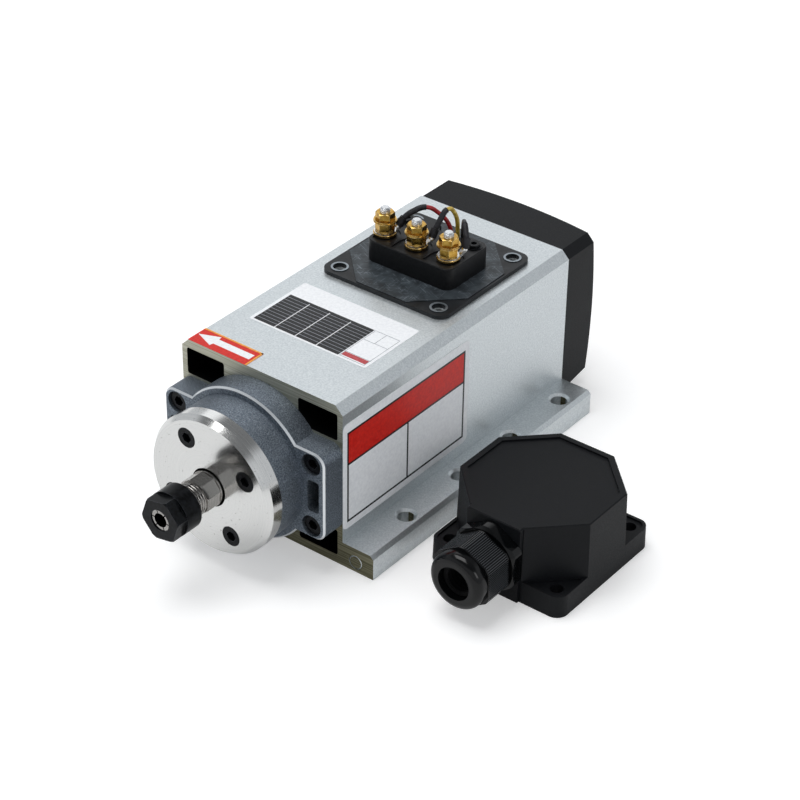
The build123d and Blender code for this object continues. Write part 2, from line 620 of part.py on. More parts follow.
thread_end_y = SHAFT_FRONT_Y + NOSE_THREAD_LENGTH
step_y = REAR_BEARING_Y - REAR_SHOULDER
collet_face_y = SHAFT_FRONT_Y - COLLET_PROUD
taper_y = collet_face_y + COLLET_NOSE + COLLET_GROOVE_WIDTH
collet_end_y = collet_face_y + COLLET_LENGTH
slope = tan(radians(COLLET_TAPER))
socket_mouth = COLLET_RADIUS + RUNNING - (SHAFT_FRONT_Y - taper_y) * slope
socket_end_y = SHAFT_FRONT_Y + (socket_mouth - TOOL_BORE_RADIUS) / slope
tool_bore_end_y = SHAFT_FRONT_Y + TOOL_BORE_LENGTH
groove_y = FAN_END_Y + SEAT
shaft = turned([
    (0, tool_bore_end_y + 2),
    (TOOL_BORE_RADIUS, tool_bore_end_y),
    (TOOL_BORE_RADIUS, socket_end_y),
    (socket_mouth, SHAFT_FRONT_Y),
    (NOSE_THREAD_CORE - 0.3, SHAFT_FRONT_Y),
    (NOSE_THREAD_CORE, SHAFT_FRONT_Y + 0.3),
    (NOSE_THREAD_CORE, thread_end_y),
    (SHAFT_RADIUS - 0.2, thread_end_y),
    (SHAFT_RADIUS, thread_end_y + 0.2),
    (SHAFT_RADIUS, BEARINGS_END_Y),
    (CORE_SHAFT_RADIUS, BEARINGS_END_Y),
    (CORE_SHAFT_RADIUS, step_y),
    (REAR_BEARING_INNER + 2, step_y),
    (REAR_BEARING_INNER + 2, REAR_BEARING_Y),
    (REAR_BEARING_INNER, REAR_BEARING_Y),
    (REAR_BEARING_INNER, FAN_Y),
    (FAN_SEAT_RADIUS, FAN_Y),
    (FAN_SEAT_RADIUS, groove_y),
    (FAN_SEAT_RADIUS - 0.4, groove_y),
    (FAN_SEAT_RADIUS - 0.4, groove_y + CIRCLIP_THICKNESS),
    (FAN_SEAT_RADIUS, groove_y + CIRCLIP_THICKNESS),
    (FAN_SEAT_RADIUS, SHAFT_END_Y - 0.5),
    (FAN_SEAT_RADIUS - 0.5, SHAFT_END_Y),
    (0, SHAFT_END_Y),
])
flats_end_y = DISC_FRONT_Y - FLATS_SETBACK
flat_ring = Circle(2 * SHAFT_RADIUS) - Rot(0, 0, FLATS_TURN) * RegularPolygon(
    FLATS_ACROSS / 2, FLATS_COUNT, major_radius=False, rotation=180 / FLATS_COUNT
)
shaft -= along_y(Pos(0, SPINDLE_HEIGHT) * flat_ring, flats_end_y - FLATS_LENGTH, flats_end_y)
assert collet_end_y < socket_end_y, "the collet has to end inside the tapered socket"

# Collet and its nut

groove_start_y = collet_face_y + COLLET_NOSE
nose_radius = COLLET_FACE_RADIUS + COLLET_NOSE * tan(radians(COLLET_NOSE_ANGLE))
collet_end_radius = COLLET_RADIUS - (collet_end_y - taper_y) * slope
collet = turned([
    (COLLET_BORE, collet_face_y),
    (COLLET_FACE_RADIUS, collet_face_y),
    (nose_radius, groove_start_y),
    (COLLET_GROOVE_RADIUS, groove_start_y),
    (COLLET_GROOVE_RADIUS, taper_y),
    (COLLET_RADIUS, taper_y),
    (collet_end_radius, collet_end_y),
    (COLLET_BORE, collet_end_y),
])
slit_length = COLLET_LENGTH - COLLET_SLOT_REST
slit = Box(
    2 * COLLET_RADIUS, slit_length + 1, COLLET_SLOT_WIDTH, align=(Align.MIN, Align.MIN, Align.CENTER)
)
for i in range(COLLET_SLOTS):
    front_turn = COLLET_TURN + i * 360 / COLLET_SLOTS
    rear_turn = front_turn + 180 / COLLET_SLOTS
    rear_start_y = collet_end_y - slit_length
    collet -= Pos(0, collet_face_y - 1, SPINDLE_HEIGHT) * Rot(0, front_turn, 0) * slit
    collet -= Pos(0, rear_start_y, SPINDLE_HEIGHT) * Rot(0, rear_turn, 0) * slit

nut_face_y = collet_face_y - NUT_FACE_AHEAD
nut_end_y = nut_face_y + NUT_LENGTH
cone_gap = NUT_GAP / cos(radians(COLLET_NOSE_ANGLE))
collet_nut = turned([
    (COLLET_FACE_RADIUS + cone_gap, nut_face_y),
    (NUT_FACE_RADIUS, nut_face_y),
    (NUT_RADIUS, nut_face_y + NUT_FACE_CHAMFER),
    (NUT_RADIUS, nut_end_y - 0.5),
    (NUT_RADIUS - 0.5, nut_end_y),
    (NOSE_THREAD_RADIUS + RUNNING, nut_end_y),
    (NOSE_THREAD_RADIUS + RUNNING, taper_y - NUT_GAP),
    (COLLET_GROOVE_RADIUS + NUT_GAP, taper_y - NUT_GAP),
    (COLLET_GROOVE_RADIUS + NUT_GAP, groove_start_y + NUT_GAP),
    (nose_radius + cone_gap, groove_start_y + NUT_GAP),
    (nose_radius + cone_gap, groove_start_y),
    (COLLET_FACE_RADIUS + cone_gap, collet_face_y),
])
hex_ring = Circle(2 * NUT_RADIUS) - Rot(0, 0, NUT_TURN) * RegularPolygon(
    NUT_ACROSS_FLATS / 2, 6, major_radius=False
)
collet_nut -= along_y(
    Pos(0, SPINDLE_HEIGHT) * hex_ring, nut_face_y, nut_face_y + NUT_HEX_LENGTH
)

# Rear bracket and preload spring

rear_outer_radius = REAR_BEARING_OUTER + SEAT
hub_radius = REAR_BEARING_OUTER + BRACKET_HUB_WALL
spigot_radius = BORE_RADIUS - SEAT
spigot_y = REAR_Y - BRACKET_SPIGOT_LENGTH
shoulder_y = REAR_BEARING_END_Y + SPRING_ROOM
shaft_hole = REAR_BEARING_INNER + 3
rear_bracket = turned([
    (shaft_hole, BRACKET_BACK_Y),
    (CAP_HUB_RADIUS, BRACKET_BACK_Y),
    (CAP_HUB_RADIUS, REAR_Y),
    (spigot_radius, REAR_Y),
    (spigot_radius, spigot_y),
    (spigot_radius - BRACKET_SPIGOT_WALL, spigot_y),
    (spigot_radius - BRACKET_SPIGOT_WALL, REAR_Y),
    (hub_radius, REAR_Y),
    (hub_radius, REAR_BEARING_Y - 1),
    (rear_outer_radius, REAR_BEARING_Y - 1),
    (rear_outer_radius, shoulder_y),
    (shaft_hole, shoulder_y),
])
cover_half = half - COVER_INSET
bracket_half = cover_half - COVER_WALL - BRACKET_CLEARANCE
bracket_lugs = Rectangle(2 * bracket_half, CAP_LUG_HEIGHT) - Circle(CAP_HUB_RADIUS - 1)
bracket_lugs = Pos(0, SPINDLE_HEIGHT) * bracket_lugs - side_slots
rear_bracket += along_y(bracket_lugs, REAR_Y, BRACKET_BACK_Y)
rear_bracket -= [along_y(slot, REAR_Y, BRACKET_BACK_Y) for slot in side_slots]
bracket_foot = COVER_LIP_HEIGHT + COVER_WALL + BRACKET_CLEARANCE
rear_bracket -= along_y(
    Pos(0, bracket_foot) * Rectangle(HOUSING_WIDTH, HOUSING_WIDTH, align=(Align.CENTER, Align.MAX)),
    REAR_Y, BRACKET_BACK_Y,
)
rear_bracket -= [
    rod(COVER_SCREW[2] + SEAT, REAR_Y, BRACKET_BACK_Y, x, z) for x, z in END_SCREW_PLACES
]

spring_outer = REAR_BEARING_OUTER - 0.3
preload_spring = turned([
    (spring_outer, REAR_BEARING_END_Y + SEAT),
    (spring_outer, REAR_BEARING_END_Y + SEAT + SPRING_THICKNESS),
    (spring_outer - SPRING_WIDTH, shoulder_y - SEAT),
    (spring_outer - SPRING_WIDTH, shoulder_y - SEAT - SPRING_THICKNESS),
])

# Fan and circlip

blade_arc = FAN_DEPTH / sin(radians(50.0))
blade = Circle(blade_arc) - Circle(blade_arc - FAN_BLADE_THICKNESS)
blade &= Pos(blade_arc, FAN_DEPTH / 2) * Rectangle(2 * blade_arc, FAN_DEPTH)
blade = Pos(-blade_arc * 0.8, FAN_Y) * blade
blade = extrude(Pos(0, 0, FAN_HUB_RADIUS - 1) * blade, FAN_RADIUS - FAN_HUB_RADIUS + 1)
fan = rod(FAN_HUB_RADIUS, FAN_Y, FAN_END_Y, z=0)
fan += [Rot(0, i * 360 / FAN_BLADES, 0) * blade for i in range(FAN_BLADES)]
fan &= rod(FAN_RADIUS, FAN_Y, FAN_END_Y, z=0)
fan -= rod(FAN_SEAT_RADIUS + SEAT, FAN_Y, FAN_END_Y, z=0)
fan = Pos(0, 0, SPINDLE_HEIGHT) * fan

clip = Circle(CIRCLIP_RADIUS) - Circle(FAN_SEAT_RADIUS - 0.4 + SEAT)
clip -= Pos(0, CIRCLIP_RADIUS) * Rectangle(3.0, 2 * CIRCLIP_RADIUS)
fan_circlip = along_y(
    Pos(0, SPINDLE_HEIGHT) * clip, groove_y + SEAT, groove_y + CIRCLIP_THICKNESS - SEAT
)


# Fan cover

def cover_form(wall):
    """Crowned block of the fan cover, all its faces moved in by the wall."""
    side = cover_half - wall
    top = HOUSING_HEIGHT - COVER_INSET - wall
    corner = HOUSING_CHAMFER - 0.4 * wall
    outline = make_face(Polyline(
        (side, 0), (side, top - corner), (side - corner, top),
        (corner - side, top), (-side, top - corner), (-side, 0),
        close=True,
    ))
    block = along_y(outline, REAR_Y, COVER_BACK_Y)
    rise = tan(radians(COVER_LIP_SLOPE)) * 2 * COVER_DEPTH
    low = COVER_LIP_HEIGHT + wall
    lip = make_face(Polyline(
        (REAR_Y - COVER_DEPTH, low - rise / 2), (COVER_BACK_Y, low + rise / 2),
        (COVER_BACK_Y, -HOUSING_HEIGHT), (REAR_Y - COVER_DEPTH, -HOUSING_HEIGHT),
        close=True,
    ))
    block -= extrude(Plane.YZ.offset(-HOUSING_WIDTH) * lip, 2 * HOUSING_WIDTH)
    crown_y = COVER_BACK_Y - COVER_CROWN
    return block & Pos(0, crown_y, COVER_CROWN_HEIGHT) * Sphere(COVER_CROWN - wall)


fan_cover = cover_form(0)
fan_cover = fillet(
    fan_cover.edges().filter_by(lambda edge: (edge @ 0.5).Y > REAR_Y + COVER_DEPTH / 2 + 3), COVER_EDGE
)
columns = [
    rod(COVER_COLUMN_RADIUS, BRACKET_BACK_Y, COVER_BACK_Y, x, z) for x, z in END_SCREW_PLACES
]
fan_cover -= cover_form(COVER_WALL) - columns
spokes = Sketch() + [
    Rot(0, 0, 90 + i * 180 / GRILLE_SPOKES) * Rectangle(4 * CAP_HUB_RADIUS, GRILLE_SPOKE_WIDTH)
    for i in range(GRILLE_SPOKES)
]
grille = Sketch() + [
    Circle(GRILLE_FIRST + i * GRILLE_STEP + GRILLE_SLOT) - Circle(GRILLE_FIRST + i * GRILLE_STEP)
    for i in range(GRILLE_RINGS)
]
fan_cover -= along_y(Pos(0, SPINDLE_HEIGHT) * (grille - spokes), FAN_END_Y, COVER_BACK_Y + 1)
fan_cover -= [
    rod(COVER_SCREW[0] + 0.3, cover_seat_y, COVER_BACK_Y, x, z) for x, z in END_SCREW_PLACES
]
fan_cover -= [
    rod(COVER_SCREW[2] + SEAT, REAR_Y, cover_seat_y, x, z) for x, z in END_SCREW_PLACES
]
cover_screw = Rot(-90, 0, 0) * screw(COVER_SCREW, COVER_SCREW_LENGTH)
fan_cover_screws = group([Pos(x, cover_seat_y, z) * cover_screw for x, z in END_SCREW_PLACES])

# Terminal plate and block

plate = RectangleRounded(PLATE_WIDTH, PLATE_LENGTH, PLATE_CORNER)
plate_place = Pos(PLATE_X, PLATE_Y)
terminal_plate = plate_place * upright(plate, HOUSING_HEIGHT, PLATE_TOP)
terminal_plate += plate_place * upright(octagon(PLATE_PAD_ACROSS), PLATE_TOP, BLOCK_BASE)
hole_rim = Circle(PLATE_HOLE_RADIUS + PLATE_HOLE_RIM)
terminal_plate += [Pos(x, y) * upright(hole_rim, PLATE_TOP, BLOCK_BASE) for x, y in plate_holes]
terminal_plate -= [
    Pos(x, y) * upright(Circle(PLATE_HOLE_RADIUS), HOUSING_HEIGHT, BLOCK_BASE) for x, y in plate_holes
]
terminal_plate -= upright(lead_slot, HOUSING_HEIGHT, BLOCK_BASE)
screw_clearance = Circle(BLOCK_SCREW[2] + SEAT)
terminal_plate -= [
    Pos(x, y) * upright(screw_clearance, HOUSING_HEIGHT, BLOCK_BASE) for x, y in block_screw_places
]

block_floor = BLOCK_TOP - BLOCK_RECESS
block_outline = Pos(BLOCK_X, BLOCK_Y) * RectangleRounded(BLOCK_WIDTH, BLOCK_LENGTH, BLOCK_CORNER)
terminal_block = upright(block_outline, BLOCK_BASE, BLOCK_TOP)
terminal_block = chamfer(terminal_block.edges().group_by(Axis.Z)[-1], 0.3)
bay_radius = (STUD_PITCH - BLOCK_RIB) / 2
bay_y = STUD_Y - BAY_AHEAD
bays = Sketch()
for x in STUD_XS:
    bays += Pos(x, bay_y) * Circle(bay_radius)
    bays += Pos(x, bay_y) * Rectangle(
        2 * bay_radius, BLOCK_LENGTH, align=(Align.CENTER, Align.MAX)
    )
recess = Pos(BLOCK_X, BLOCK_Y) * RectangleRounded(
    BLOCK_WIDTH - 2 * BLOCK_RIM, BLOCK_LENGTH - 2 * BLOCK_RIM, BLOCK_CORNER - BLOCK_RIM
)
recess &= bays
recess -= [Pos(x, STUD_Y) * Circle(STUD_BOSS_RADIUS) for x in STUD_XS]
terminal_block -= upright(recess, block_floor, BLOCK_TOP)
terminal_block -= upright(lead_slot, BLOCK_BASE, BLOCK_TOP)
for x, y in block_screw_places:
    collar_room = Circle(BLOCK_SCREW_COLLAR + SEAT)
    terminal_block -= Pos(x, y) * upright(collar_room, block_screw_seat, BLOCK_TOP)
    terminal_block -= Pos(x, y) * upright(screw_clearance, BLOCK_BASE, block_screw_seat)
for x in STUD_XS:
    terminal_block -= Pos(x, STUD_Y) * upright(Circle(STUD_RADIUS + SEAT), BLOCK_BASE, BLOCK_TOP)
    terminal_block -= Pos(x, STUD_Y) * upright(
        Circle(STUD_HEAD_RADIUS + SEAT), BLOCK_BASE, BLOCK_BASE + STUD_HEAD_HEIGHT
    )
block_screw = screw(BLOCK_SCREW, BLOCK_SCREW_LENGTH)
block_screw += upright(Circle(BLOCK_SCREW_COLLAR), 0, 0.9)
block_screws = group([Pos(x, y, block_screw_seat) * block_screw for x, y in block_screw_places])


# Studs, washers, ring lugs and nuts

def at_studs(piece, turns=(0, 0, 0)):
    """The same piece on all the studs, turned about each of them."""
    places = zip(STUD_XS, turns)
    return group([Pos(x, STUD_Y) * Rot(0, 0, turn) * piece for x, turn in places])


def washer(radius, z, thickness):
    """Plain washer lying on z."""
    return upright(Circle(radius) - Circle(STUD_RADIUS + SEAT), z, z + thickness)


def hex_nut(z, height):
    """Hexagon nut lying on z, bevelled at both ends."""
    low_half = Cone(
        NUT_ACROSS / 2, NUT_ACROSS / 2 + height / 2 / NUT_BEVEL, height / 2,
        align=(Align.CENTER, Align.CENTER, Align.MIN),
    )
    bevel = Pos(0, 0, z) * low_half
    bevel += Pos(0, 0, z + height) * Rot(180, 0, 0) * low_half
    nut = upright(RegularPolygon(NUT_ACROSS / 2, 6, major_radius=False), z, z + height)
    return (nut & bevel) - upright(Circle(STUD_RADIUS + SEAT), z, z + height)


stud_top = BLOCK_TOP + STUD_TOP
stud = upright(Circle(STUD_RADIUS), BLOCK_BASE, stud_top)
stud = chamfer(stud.edges().group_by(Axis.Z)[-1], STUD_CHAMFER)
stud += upright(Circle(STUD_HEAD_RADIUS), BLOCK_BASE, BLOCK_BASE + STUD_HEAD_HEIGHT)
terminal_studs = at_studs(stud)
lug_z = BLOCK_TOP + BASE_WASHER_THICKNESS
lower_nut_z = lug_z + LUG_THICKNESS
clamp_washer_z = lower_nut_z + LOWER_NUT_HEIGHT
top_washer_z = clamp_washer_z + CLAMP_WASHER_THICKNESS
upper_nut_z = top_washer_z + CLAMP_WASHER_THICKNESS
base_washers = at_studs(washer(WASHER_RADIUS, BLOCK_TOP, BASE_WASHER_THICKNESS))
clamp_washers = at_studs(washer(WASHER_RADIUS, clamp_washer_z, CLAMP_WASHER_THICKNESS))
top_washers = at_studs(washer(WASHER_RADIUS - 0.2, top_washer_z, CLAMP_WASHER_THICKNESS))
lower_nuts = at_studs(hex_nut(lower_nut_z, LOWER_NUT_HEIGHT), LOWER_NUT_TURNS)
upper_nuts = at_studs(hex_nut(upper_nut_z, UPPER_NUT_HEIGHT), UPPER_NUT_TURNS)

# Leads. Each bend is in shares: x of the pitch from the middle stud, y of the way from the
# studs to the lead slot, z of the studs' height. The last share is the sleeve's, of the route.

LEAD_ROUTES = [
    ([(-0.75, 0.18, 0.24), (-0.61, 0.3, 0.67), (-0.27, 0.67, 1.0), (0.25, 0.97, 0.34), (0.29, 1, 0)], 0.28),
    ([(0.28, 0.22, 0.22), (0.3, 0.3, 0.52), (0.37, 0.7, 1.27), (0.43, 0.99, 0.62), (0.45, 1, 0)], 0.26),
    ([(1.28, 0.25, 0.3), (1.31, 0.29, 0.62), (0.98, 0.57, 1.08), (0.62, 0.97, 0.38), (0.61, 1, 0)], 0.22),
]
lead_end_z = SPINDLE_HEIGHT + WINDING_OUTER - WIRE_IN_WINDING


def lead_route(bends):
    """Smooth route with an arc at each bend, ending inside the winding."""
    points = []
    for x, y, z in bends:
        place = (STUD_X + x * STUD_PITCH, STUD_Y + y * LEAD_SLOT_BACK, BLOCK_TOP + z * STUD_TOP)
        points.append(Vector(*place))
    points[-1] = Vector(points[-1].X, points[-1].Y, lead_end_z)
    radii = []
    for before, corner, after in zip(points, points[1:], points[2:]):
        half_turn = radians((corner - before).get_angle(after - corner)) / 2
        shorter = min((corner - before).length, (after - corner).length)
        radii.append(round(0.45 * shorter / tan(half_turn), 2))
    print("bend radii", radii)
    return FilletPolyline(*points, radius=radii)


def along(path, radius, start, end):
    """Round bar along a path, between two lengths of it."""
    piece = path.trim(start / path.length, end / path.length)
    return sweep(Plane(piece @ 0, z_dir=piece % 0) * Circle(radius), path=piece)


def ring_lug(path, stud_x):
    """Lug round a stud, its tongue bent up to the barrel round the wire's start."""
    start = path @ 0
    reach = sqrt((start.X - stud_x) ** 2 + (start.Y - STUD_Y) ** 2)
    heading = Vector(start.X - stud_x, start.Y - STUD_Y, 0).normalized()
    rise = start.Z - lug_z
    profile = make_face(Polyline(
        (0, 0), (LUG_RING_RADIUS + 0.5, 0), (reach + 0.5, rise - 0.2),
        (reach - 0.5, rise + 0.2), (LUG_RING_RADIUS - 0.2, LUG_THICKNESS), (0, LUG_THICKNESS),
        close=True,
    ))
    middle = Plane((stud_x, STUD_Y, lug_z), x_dir=heading, z_dir=heading.cross(Vector(0, 0, 1)))
    lug = extrude(middle * profile, LUG_TONGUE_WIDTH / 2, both=True)
    lug += Pos(stud_x, STUD_Y) * upright(Circle(LUG_RING_RADIUS), lug_z, lower_nut_z)
    lug -= Pos(stud_x, STUD_Y) * upright(Circle(STUD_RADIUS + SEAT), lug_z, lower_nut_z)
    lug += along(path, BARREL_RADIUS, 0, BARREL_LENGTH)
    return lug - along(path, WIRE_RADIUS + SEAT, 0, BARREL_LENGTH + 1)


def sleeve(path, length):
    """Heat-shrink sleeve over the barrel and the start of the wire."""
    step = BARREL_LENGTH + 1.2
    outside = along(path, WIRE_RADIUS + SLEEVE_WALL, SLEEVE_START, length)
    outside += along(path, BARREL_RADIUS + SLEEVE_WALL, SLEEVE_START, step)
    inside = along(path, WIRE_RADIUS + SEAT, 0, length + 1)
    inside += along(path, BARREL_RADIUS + SEAT, 0, BARREL_LENGTH + SEAT)
    return outside - inside


leads = []
lugs = []
sleeves = []
for (bends, sleeve_share), x in zip(LEAD_ROUTES, STUD_XS):
    path = lead_route(bends)
    lead = along(path, WIRE_RADIUS, 0, path.length)
    print("lead volume over section by length", lead.volume / (pi * WIRE_RADIUS**2 * path.length))
    leads.append(lead)
    lugs.append(ring_lug(path, x))
    sleeves.append(sleeve(path, sleeve_share * path.length))
    buried = path.length - 2 * WIRE_IN_WINDING
    stator_winding -= along(path, WIRE_RADIUS + SEAT, buried, path.length)
lead_red, lead_yellow, lead_third = leads
ring_lugs = group(lugs)
lead_sleeves = group(sleeves)

# Loose terminal cover

square = RectangleRounded(CAP_BOX_ACROSS, CAP_BOX_ACROSS, EAR_CORNER)
lid_across = CAP_BOX_ACROSS - 2 * CAP_BOX_HEIGHT * tan(radians(CAP_BOX_DRAFT))
pad = Pos(0, -CAP_BOX_ACROSS / 4 - GLAND_PAD_PROUD / 2) * Rectangle(
    GLAND_PAD_WIDTH, CAP_BOX_ACROSS / 2 + GLAND_PAD_PROUD
)
box = extrude(square, EAR_HEIGHT, taper=CAP_BOX_DRAFT)
box += extrude(octagon(CAP_BOX_ACROSS), CAP_BOX_HEIGHT, taper=CAP_BOX_DRAFT)
box += upright(pad, 0, CAP_BOX_HEIGHT)
box = chamfer(box.edges().group_by(Axis.Z)[-1], LID_EDGE)
pocket_across = CAP_BOX_ACROSS - 2 * EAR_RIM
ear_pocket = RectangleRounded(pocket_across, pocket_across, EAR_CORNER - EAR_RIM)
box -= upright(ear_pocket - octagon(CAP_BOX_ACROSS), EAR_HEIGHT - EAR_RECESS, EAR_HEIGHT)
box -= upright(octagon(lid_across - 2 * LID_RIM), CAP_BOX_HEIGHT - LID_RECESS, CAP_BOX_HEIGHT)
inside_across = lid_across - 2 * CAP_BOX_WALL
box -= upright(octagon(inside_across), 0, CAP_BOX_HEIGHT - LID_RECESS - CAP_BOX_WALL)
ear = PLATE_HOLE_SPAN / 2
box -= [
    Pos(x, y) * upright(Circle(EAR_HOLE_RADIUS), 0, EAR_HEIGHT) for x in (-ear, ear) for y in (-ear, ear)
]
gasket_middle = (CAP_BOX_ACROSS + inside_across) / 2
gasket_room = octagon(gasket_middle + GASKET_WIDTH) - octagon(gasket_middle - GASKET_WIDTH)
gasket_band = octagon(gasket_middle + GASKET_WIDTH - 2 * SEAT)
gasket_band -= octagon(gasket_middle - GASKET_WIDTH + 2 * SEAT)
box -= upright(gasket_room, 0, GASKET_HEIGHT)
cover_place = Pos(CAP_BOX_X, CAP_BOX_Y)
inner_face_y = CAP_BOX_Y - inside_across / 2
terminal_cover = cover_place * box
terminal_cover -= rod(GLAND_ENTRY_RADIUS + SEAT, GLAND_FACE_Y, inner_face_y, CAP_BOX_X, GLAND_HEIGHT)
cover_gasket = cover_place * upright(gasket_band, 0, GASKET_HEIGHT - SEAT)

# Cable gland on the loose cover

hex_front_y = GLAND_FACE_Y - GLAND_HEX_LENGTH
neck_end_y = hex_front_y - GLAND_NECK_LENGTH
entry_end_y = inner_face_y + GLAND_ENTRY_REACH
hex_corner = GLAND_HEX / 2 + 1.2
gland_axis = Pos(CAP_BOX_X, GLAND_HEIGHT)
gland_body = turned([
    (GLAND_BORE, entry_end_y),
    (GLAND_ENTRY_RADIUS - 0.5, entry_end_y),
    (GLAND_ENTRY_RADIUS, entry_end_y - 0.5),
    (GLAND_ENTRY_RADIUS, GLAND_FACE_Y),
    (hex_corner, GLAND_FACE_Y),
    (hex_corner, hex_front_y + 1.2),
    (hex_corner - 1.2, hex_front_y),
    (GLAND_NECK_RADIUS, hex_front_y),
    (GLAND_NECK_RADIUS, neck_end_y + 0.6),
    (GLAND_NECK_RADIUS - 0.6, neck_end_y),
    (GLAND_BORE, neck_end_y),
], CAP_BOX_X, GLAND_HEIGHT)
hexagon = RegularPolygon(GLAND_HEX / 2, 6, major_radius=False, rotation=30)
gland_body &= along_y(gland_axis * hexagon, neck_end_y, entry_end_y)
locknut = RegularPolygon(LOCKNUT_HEX / 2, 6, major_radius=False)
locknut = gland_axis * (locknut - Circle(GLAND_ENTRY_RADIUS + SEAT))
gland_locknut = along_y(locknut, inner_face_y, inner_face_y + LOCKNUT_LENGTH)

dome_back_y = hex_front_y - DOME_GAP
dome_mouth_y = dome_back_y - DOME_LENGTH
skirt_y = dome_back_y - DOME_SKIRT
chamber_y = neck_end_y - SEAL_FLANGE_LENGTH - 2 * SEAL_GAP
gland_nut = turned([
    (DOME_MOUTH, dome_mouth_y),
    (DOME_RADIUS, dome_mouth_y),
    (DOME_RADIUS, skirt_y),
    (DOME_CORNERS, skirt_y),
    (DOME_CORNERS, dome_back_y),
    (GLAND_NECK_RADIUS + RUNNING, dome_back_y),
    (GLAND_NECK_RADIUS + RUNNING, chamber_y),
    (DOME_MOUTH, chamber_y),
], CAP_BOX_X, GLAND_HEIGHT)
mouth_rims = gland_nut.edges().filter_by(GeomType.CIRCLE).group_by(Axis.Y)[0].sort_by(SortBy.RADIUS)
gland_nut = fillet(mouth_rims[-1], DOME_ROUND)
flats = RegularPolygon(DOME_FLATS / 2, 6, major_radius=False, rotation=30 + DOME_TURN)
gland_nut -= along_y(gland_axis * (Circle(2 * DOME_RADIUS) - flats), skirt_y, dome_back_y)
grooves = []
for i in range(GROOVE_COUNT):
    turn = i * 360 / GROOVE_COUNT
    flat_reach = DOME_FLATS / 2 / cos(radians((turn - DOME_TURN + 30) % 60 - 30))
    reach = min(DOME_CORNERS, flat_reach) - GROOVE_SINK
    grooves.append(Rot(0, 0, turn) * Pos(reach, 0) * Circle(GROOVE_RADIUS))
grooves = gland_axis * (Sketch() + grooves)
gland_nut -= along_y(grooves, skirt_y + GROOVE_MARGIN, dome_back_y - GROOVE_MARGIN)

seal_back_y = neck_end_y - SEAL_GAP
seal_front_y = seal_back_y - SEAL_FLANGE_LENGTH
tube_half = (SEAL_LENGTH - SEAL_FLANGE_LENGTH) / 2
gland_seal = turned([
    (SEAL_BORE, seal_front_y - tube_half),
    (DOME_MOUTH - 0.3, seal_front_y - tube_half),
    (DOME_MOUTH - 0.3, seal_front_y),
    (SEAL_FLANGE, seal_front_y),
    (SEAL_FLANGE, seal_back_y),
    (GLAND_BORE - 0.3, seal_back_y),
    (GLAND_BORE - 0.3, seal_back_y + tube_half),
    (SEAL_BORE, seal_back_y + tube_half),
], CAP_BOX_X, GLAND_HEIGHT)

# One file for each piece

PIECES = {
    "housing": housing,
    "port_plugs": port_plugs,
    "front_cap": front_cap,
    "cap_screws": cap_screws,
    "front_flange": front_flange,
    "flange_screws": flange_screws,
    "front_outer_rings": front_outer_rings,
    "front_inner_rings": front_inner_rings,
    "front_balls": front_balls,
    "outer_spacer": outer_spacer,
    "inner_spacer": inner_spacer,
    "rear_outer_ring": rear_outer,
    "rear_inner_ring": rear_inner,
    "rear_balls": rear_ball_set,
    "stator_core": stator_core,
    "stator_winding": stator_winding,
    "rotor_core": rotor_core,
    "rotor_cage": rotor_cage,
    "shaft": shaft,
    "collet": collet,
    "collet_nut": collet_nut,
    "rear_bracket": rear_bracket,
    "preload_spring": preload_spring,
    "fan": fan,
    "fan_circlip": fan_circlip,
    "fan_cover": fan_cover,
    "fan_cover_screws": fan_cover_screws,
    "terminal_plate": terminal_plate,
    "terminal_block": terminal_block,
    "block_screws": block_screws,
    "terminal_studs": terminal_studs,
    "base_washers": base_washers,
    "ring_lugs": ring_lugs,
    "lower_nuts": lower_nuts,
    "clamp_washers": clamp_washers,
    "top_washers": top_washers,
    "upper_nuts": upper_nuts,
    "lead_red": lead_red,
    "lead_yellow": lead_yellow,
    "lead_third": lead_third,
    "lead_sleeves": lead_sleeves,
    "terminal_cover": terminal_cover,
    "cover_gasket": cover_gasket,
    "gland_body": gland_body,
    "gland_locknut": gland_locknut,
    "gland_nut": gland_nut,
    "gland_seal": gland_seal,
}
for name, piece in PIECES.items():
    export_step(piece, f"parts/{name}.step")
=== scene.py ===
# %% [markdown]
# # A motor spindle with its terminal box open
# A motor spindle is an electric motor whose shaft carries a collet, a slotted ring that grips a
# tool. This one stands on a flanged aluminium extrusion. The moving frame of the model is already
# there as CAD pieces, so this lesson is about light, finishes and the small printed and formed
# details that make it look like the real thing.

# %% Load the frame
import json
import math

import bmesh
import bpy
from mathutils import Matrix, Vector


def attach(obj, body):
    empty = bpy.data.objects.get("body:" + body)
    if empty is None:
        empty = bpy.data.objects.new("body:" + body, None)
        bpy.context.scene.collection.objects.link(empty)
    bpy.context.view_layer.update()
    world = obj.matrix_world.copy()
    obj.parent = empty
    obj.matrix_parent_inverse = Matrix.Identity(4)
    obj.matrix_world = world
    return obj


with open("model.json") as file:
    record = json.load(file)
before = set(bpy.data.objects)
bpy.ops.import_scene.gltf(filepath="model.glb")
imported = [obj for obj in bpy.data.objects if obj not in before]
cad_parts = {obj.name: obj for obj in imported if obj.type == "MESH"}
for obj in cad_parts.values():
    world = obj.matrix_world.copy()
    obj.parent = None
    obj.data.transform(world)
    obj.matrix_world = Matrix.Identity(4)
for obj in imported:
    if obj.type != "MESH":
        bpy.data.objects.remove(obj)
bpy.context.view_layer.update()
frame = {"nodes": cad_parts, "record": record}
scene = bpy.context.scene
NODES = frame["nodes"]
MM = 0.001
print("pieces in the frame:", len(NODES))

# %% [markdown]
# ## Camera
# The object is seen from the front right and from above with a long lens, so parallel edges stay
# almost parallel. A camera is placed by three vectors: its right, its up and its back. Here they
# come from an azimuth, an elevation and a small roll, so that each can be changed by itself.

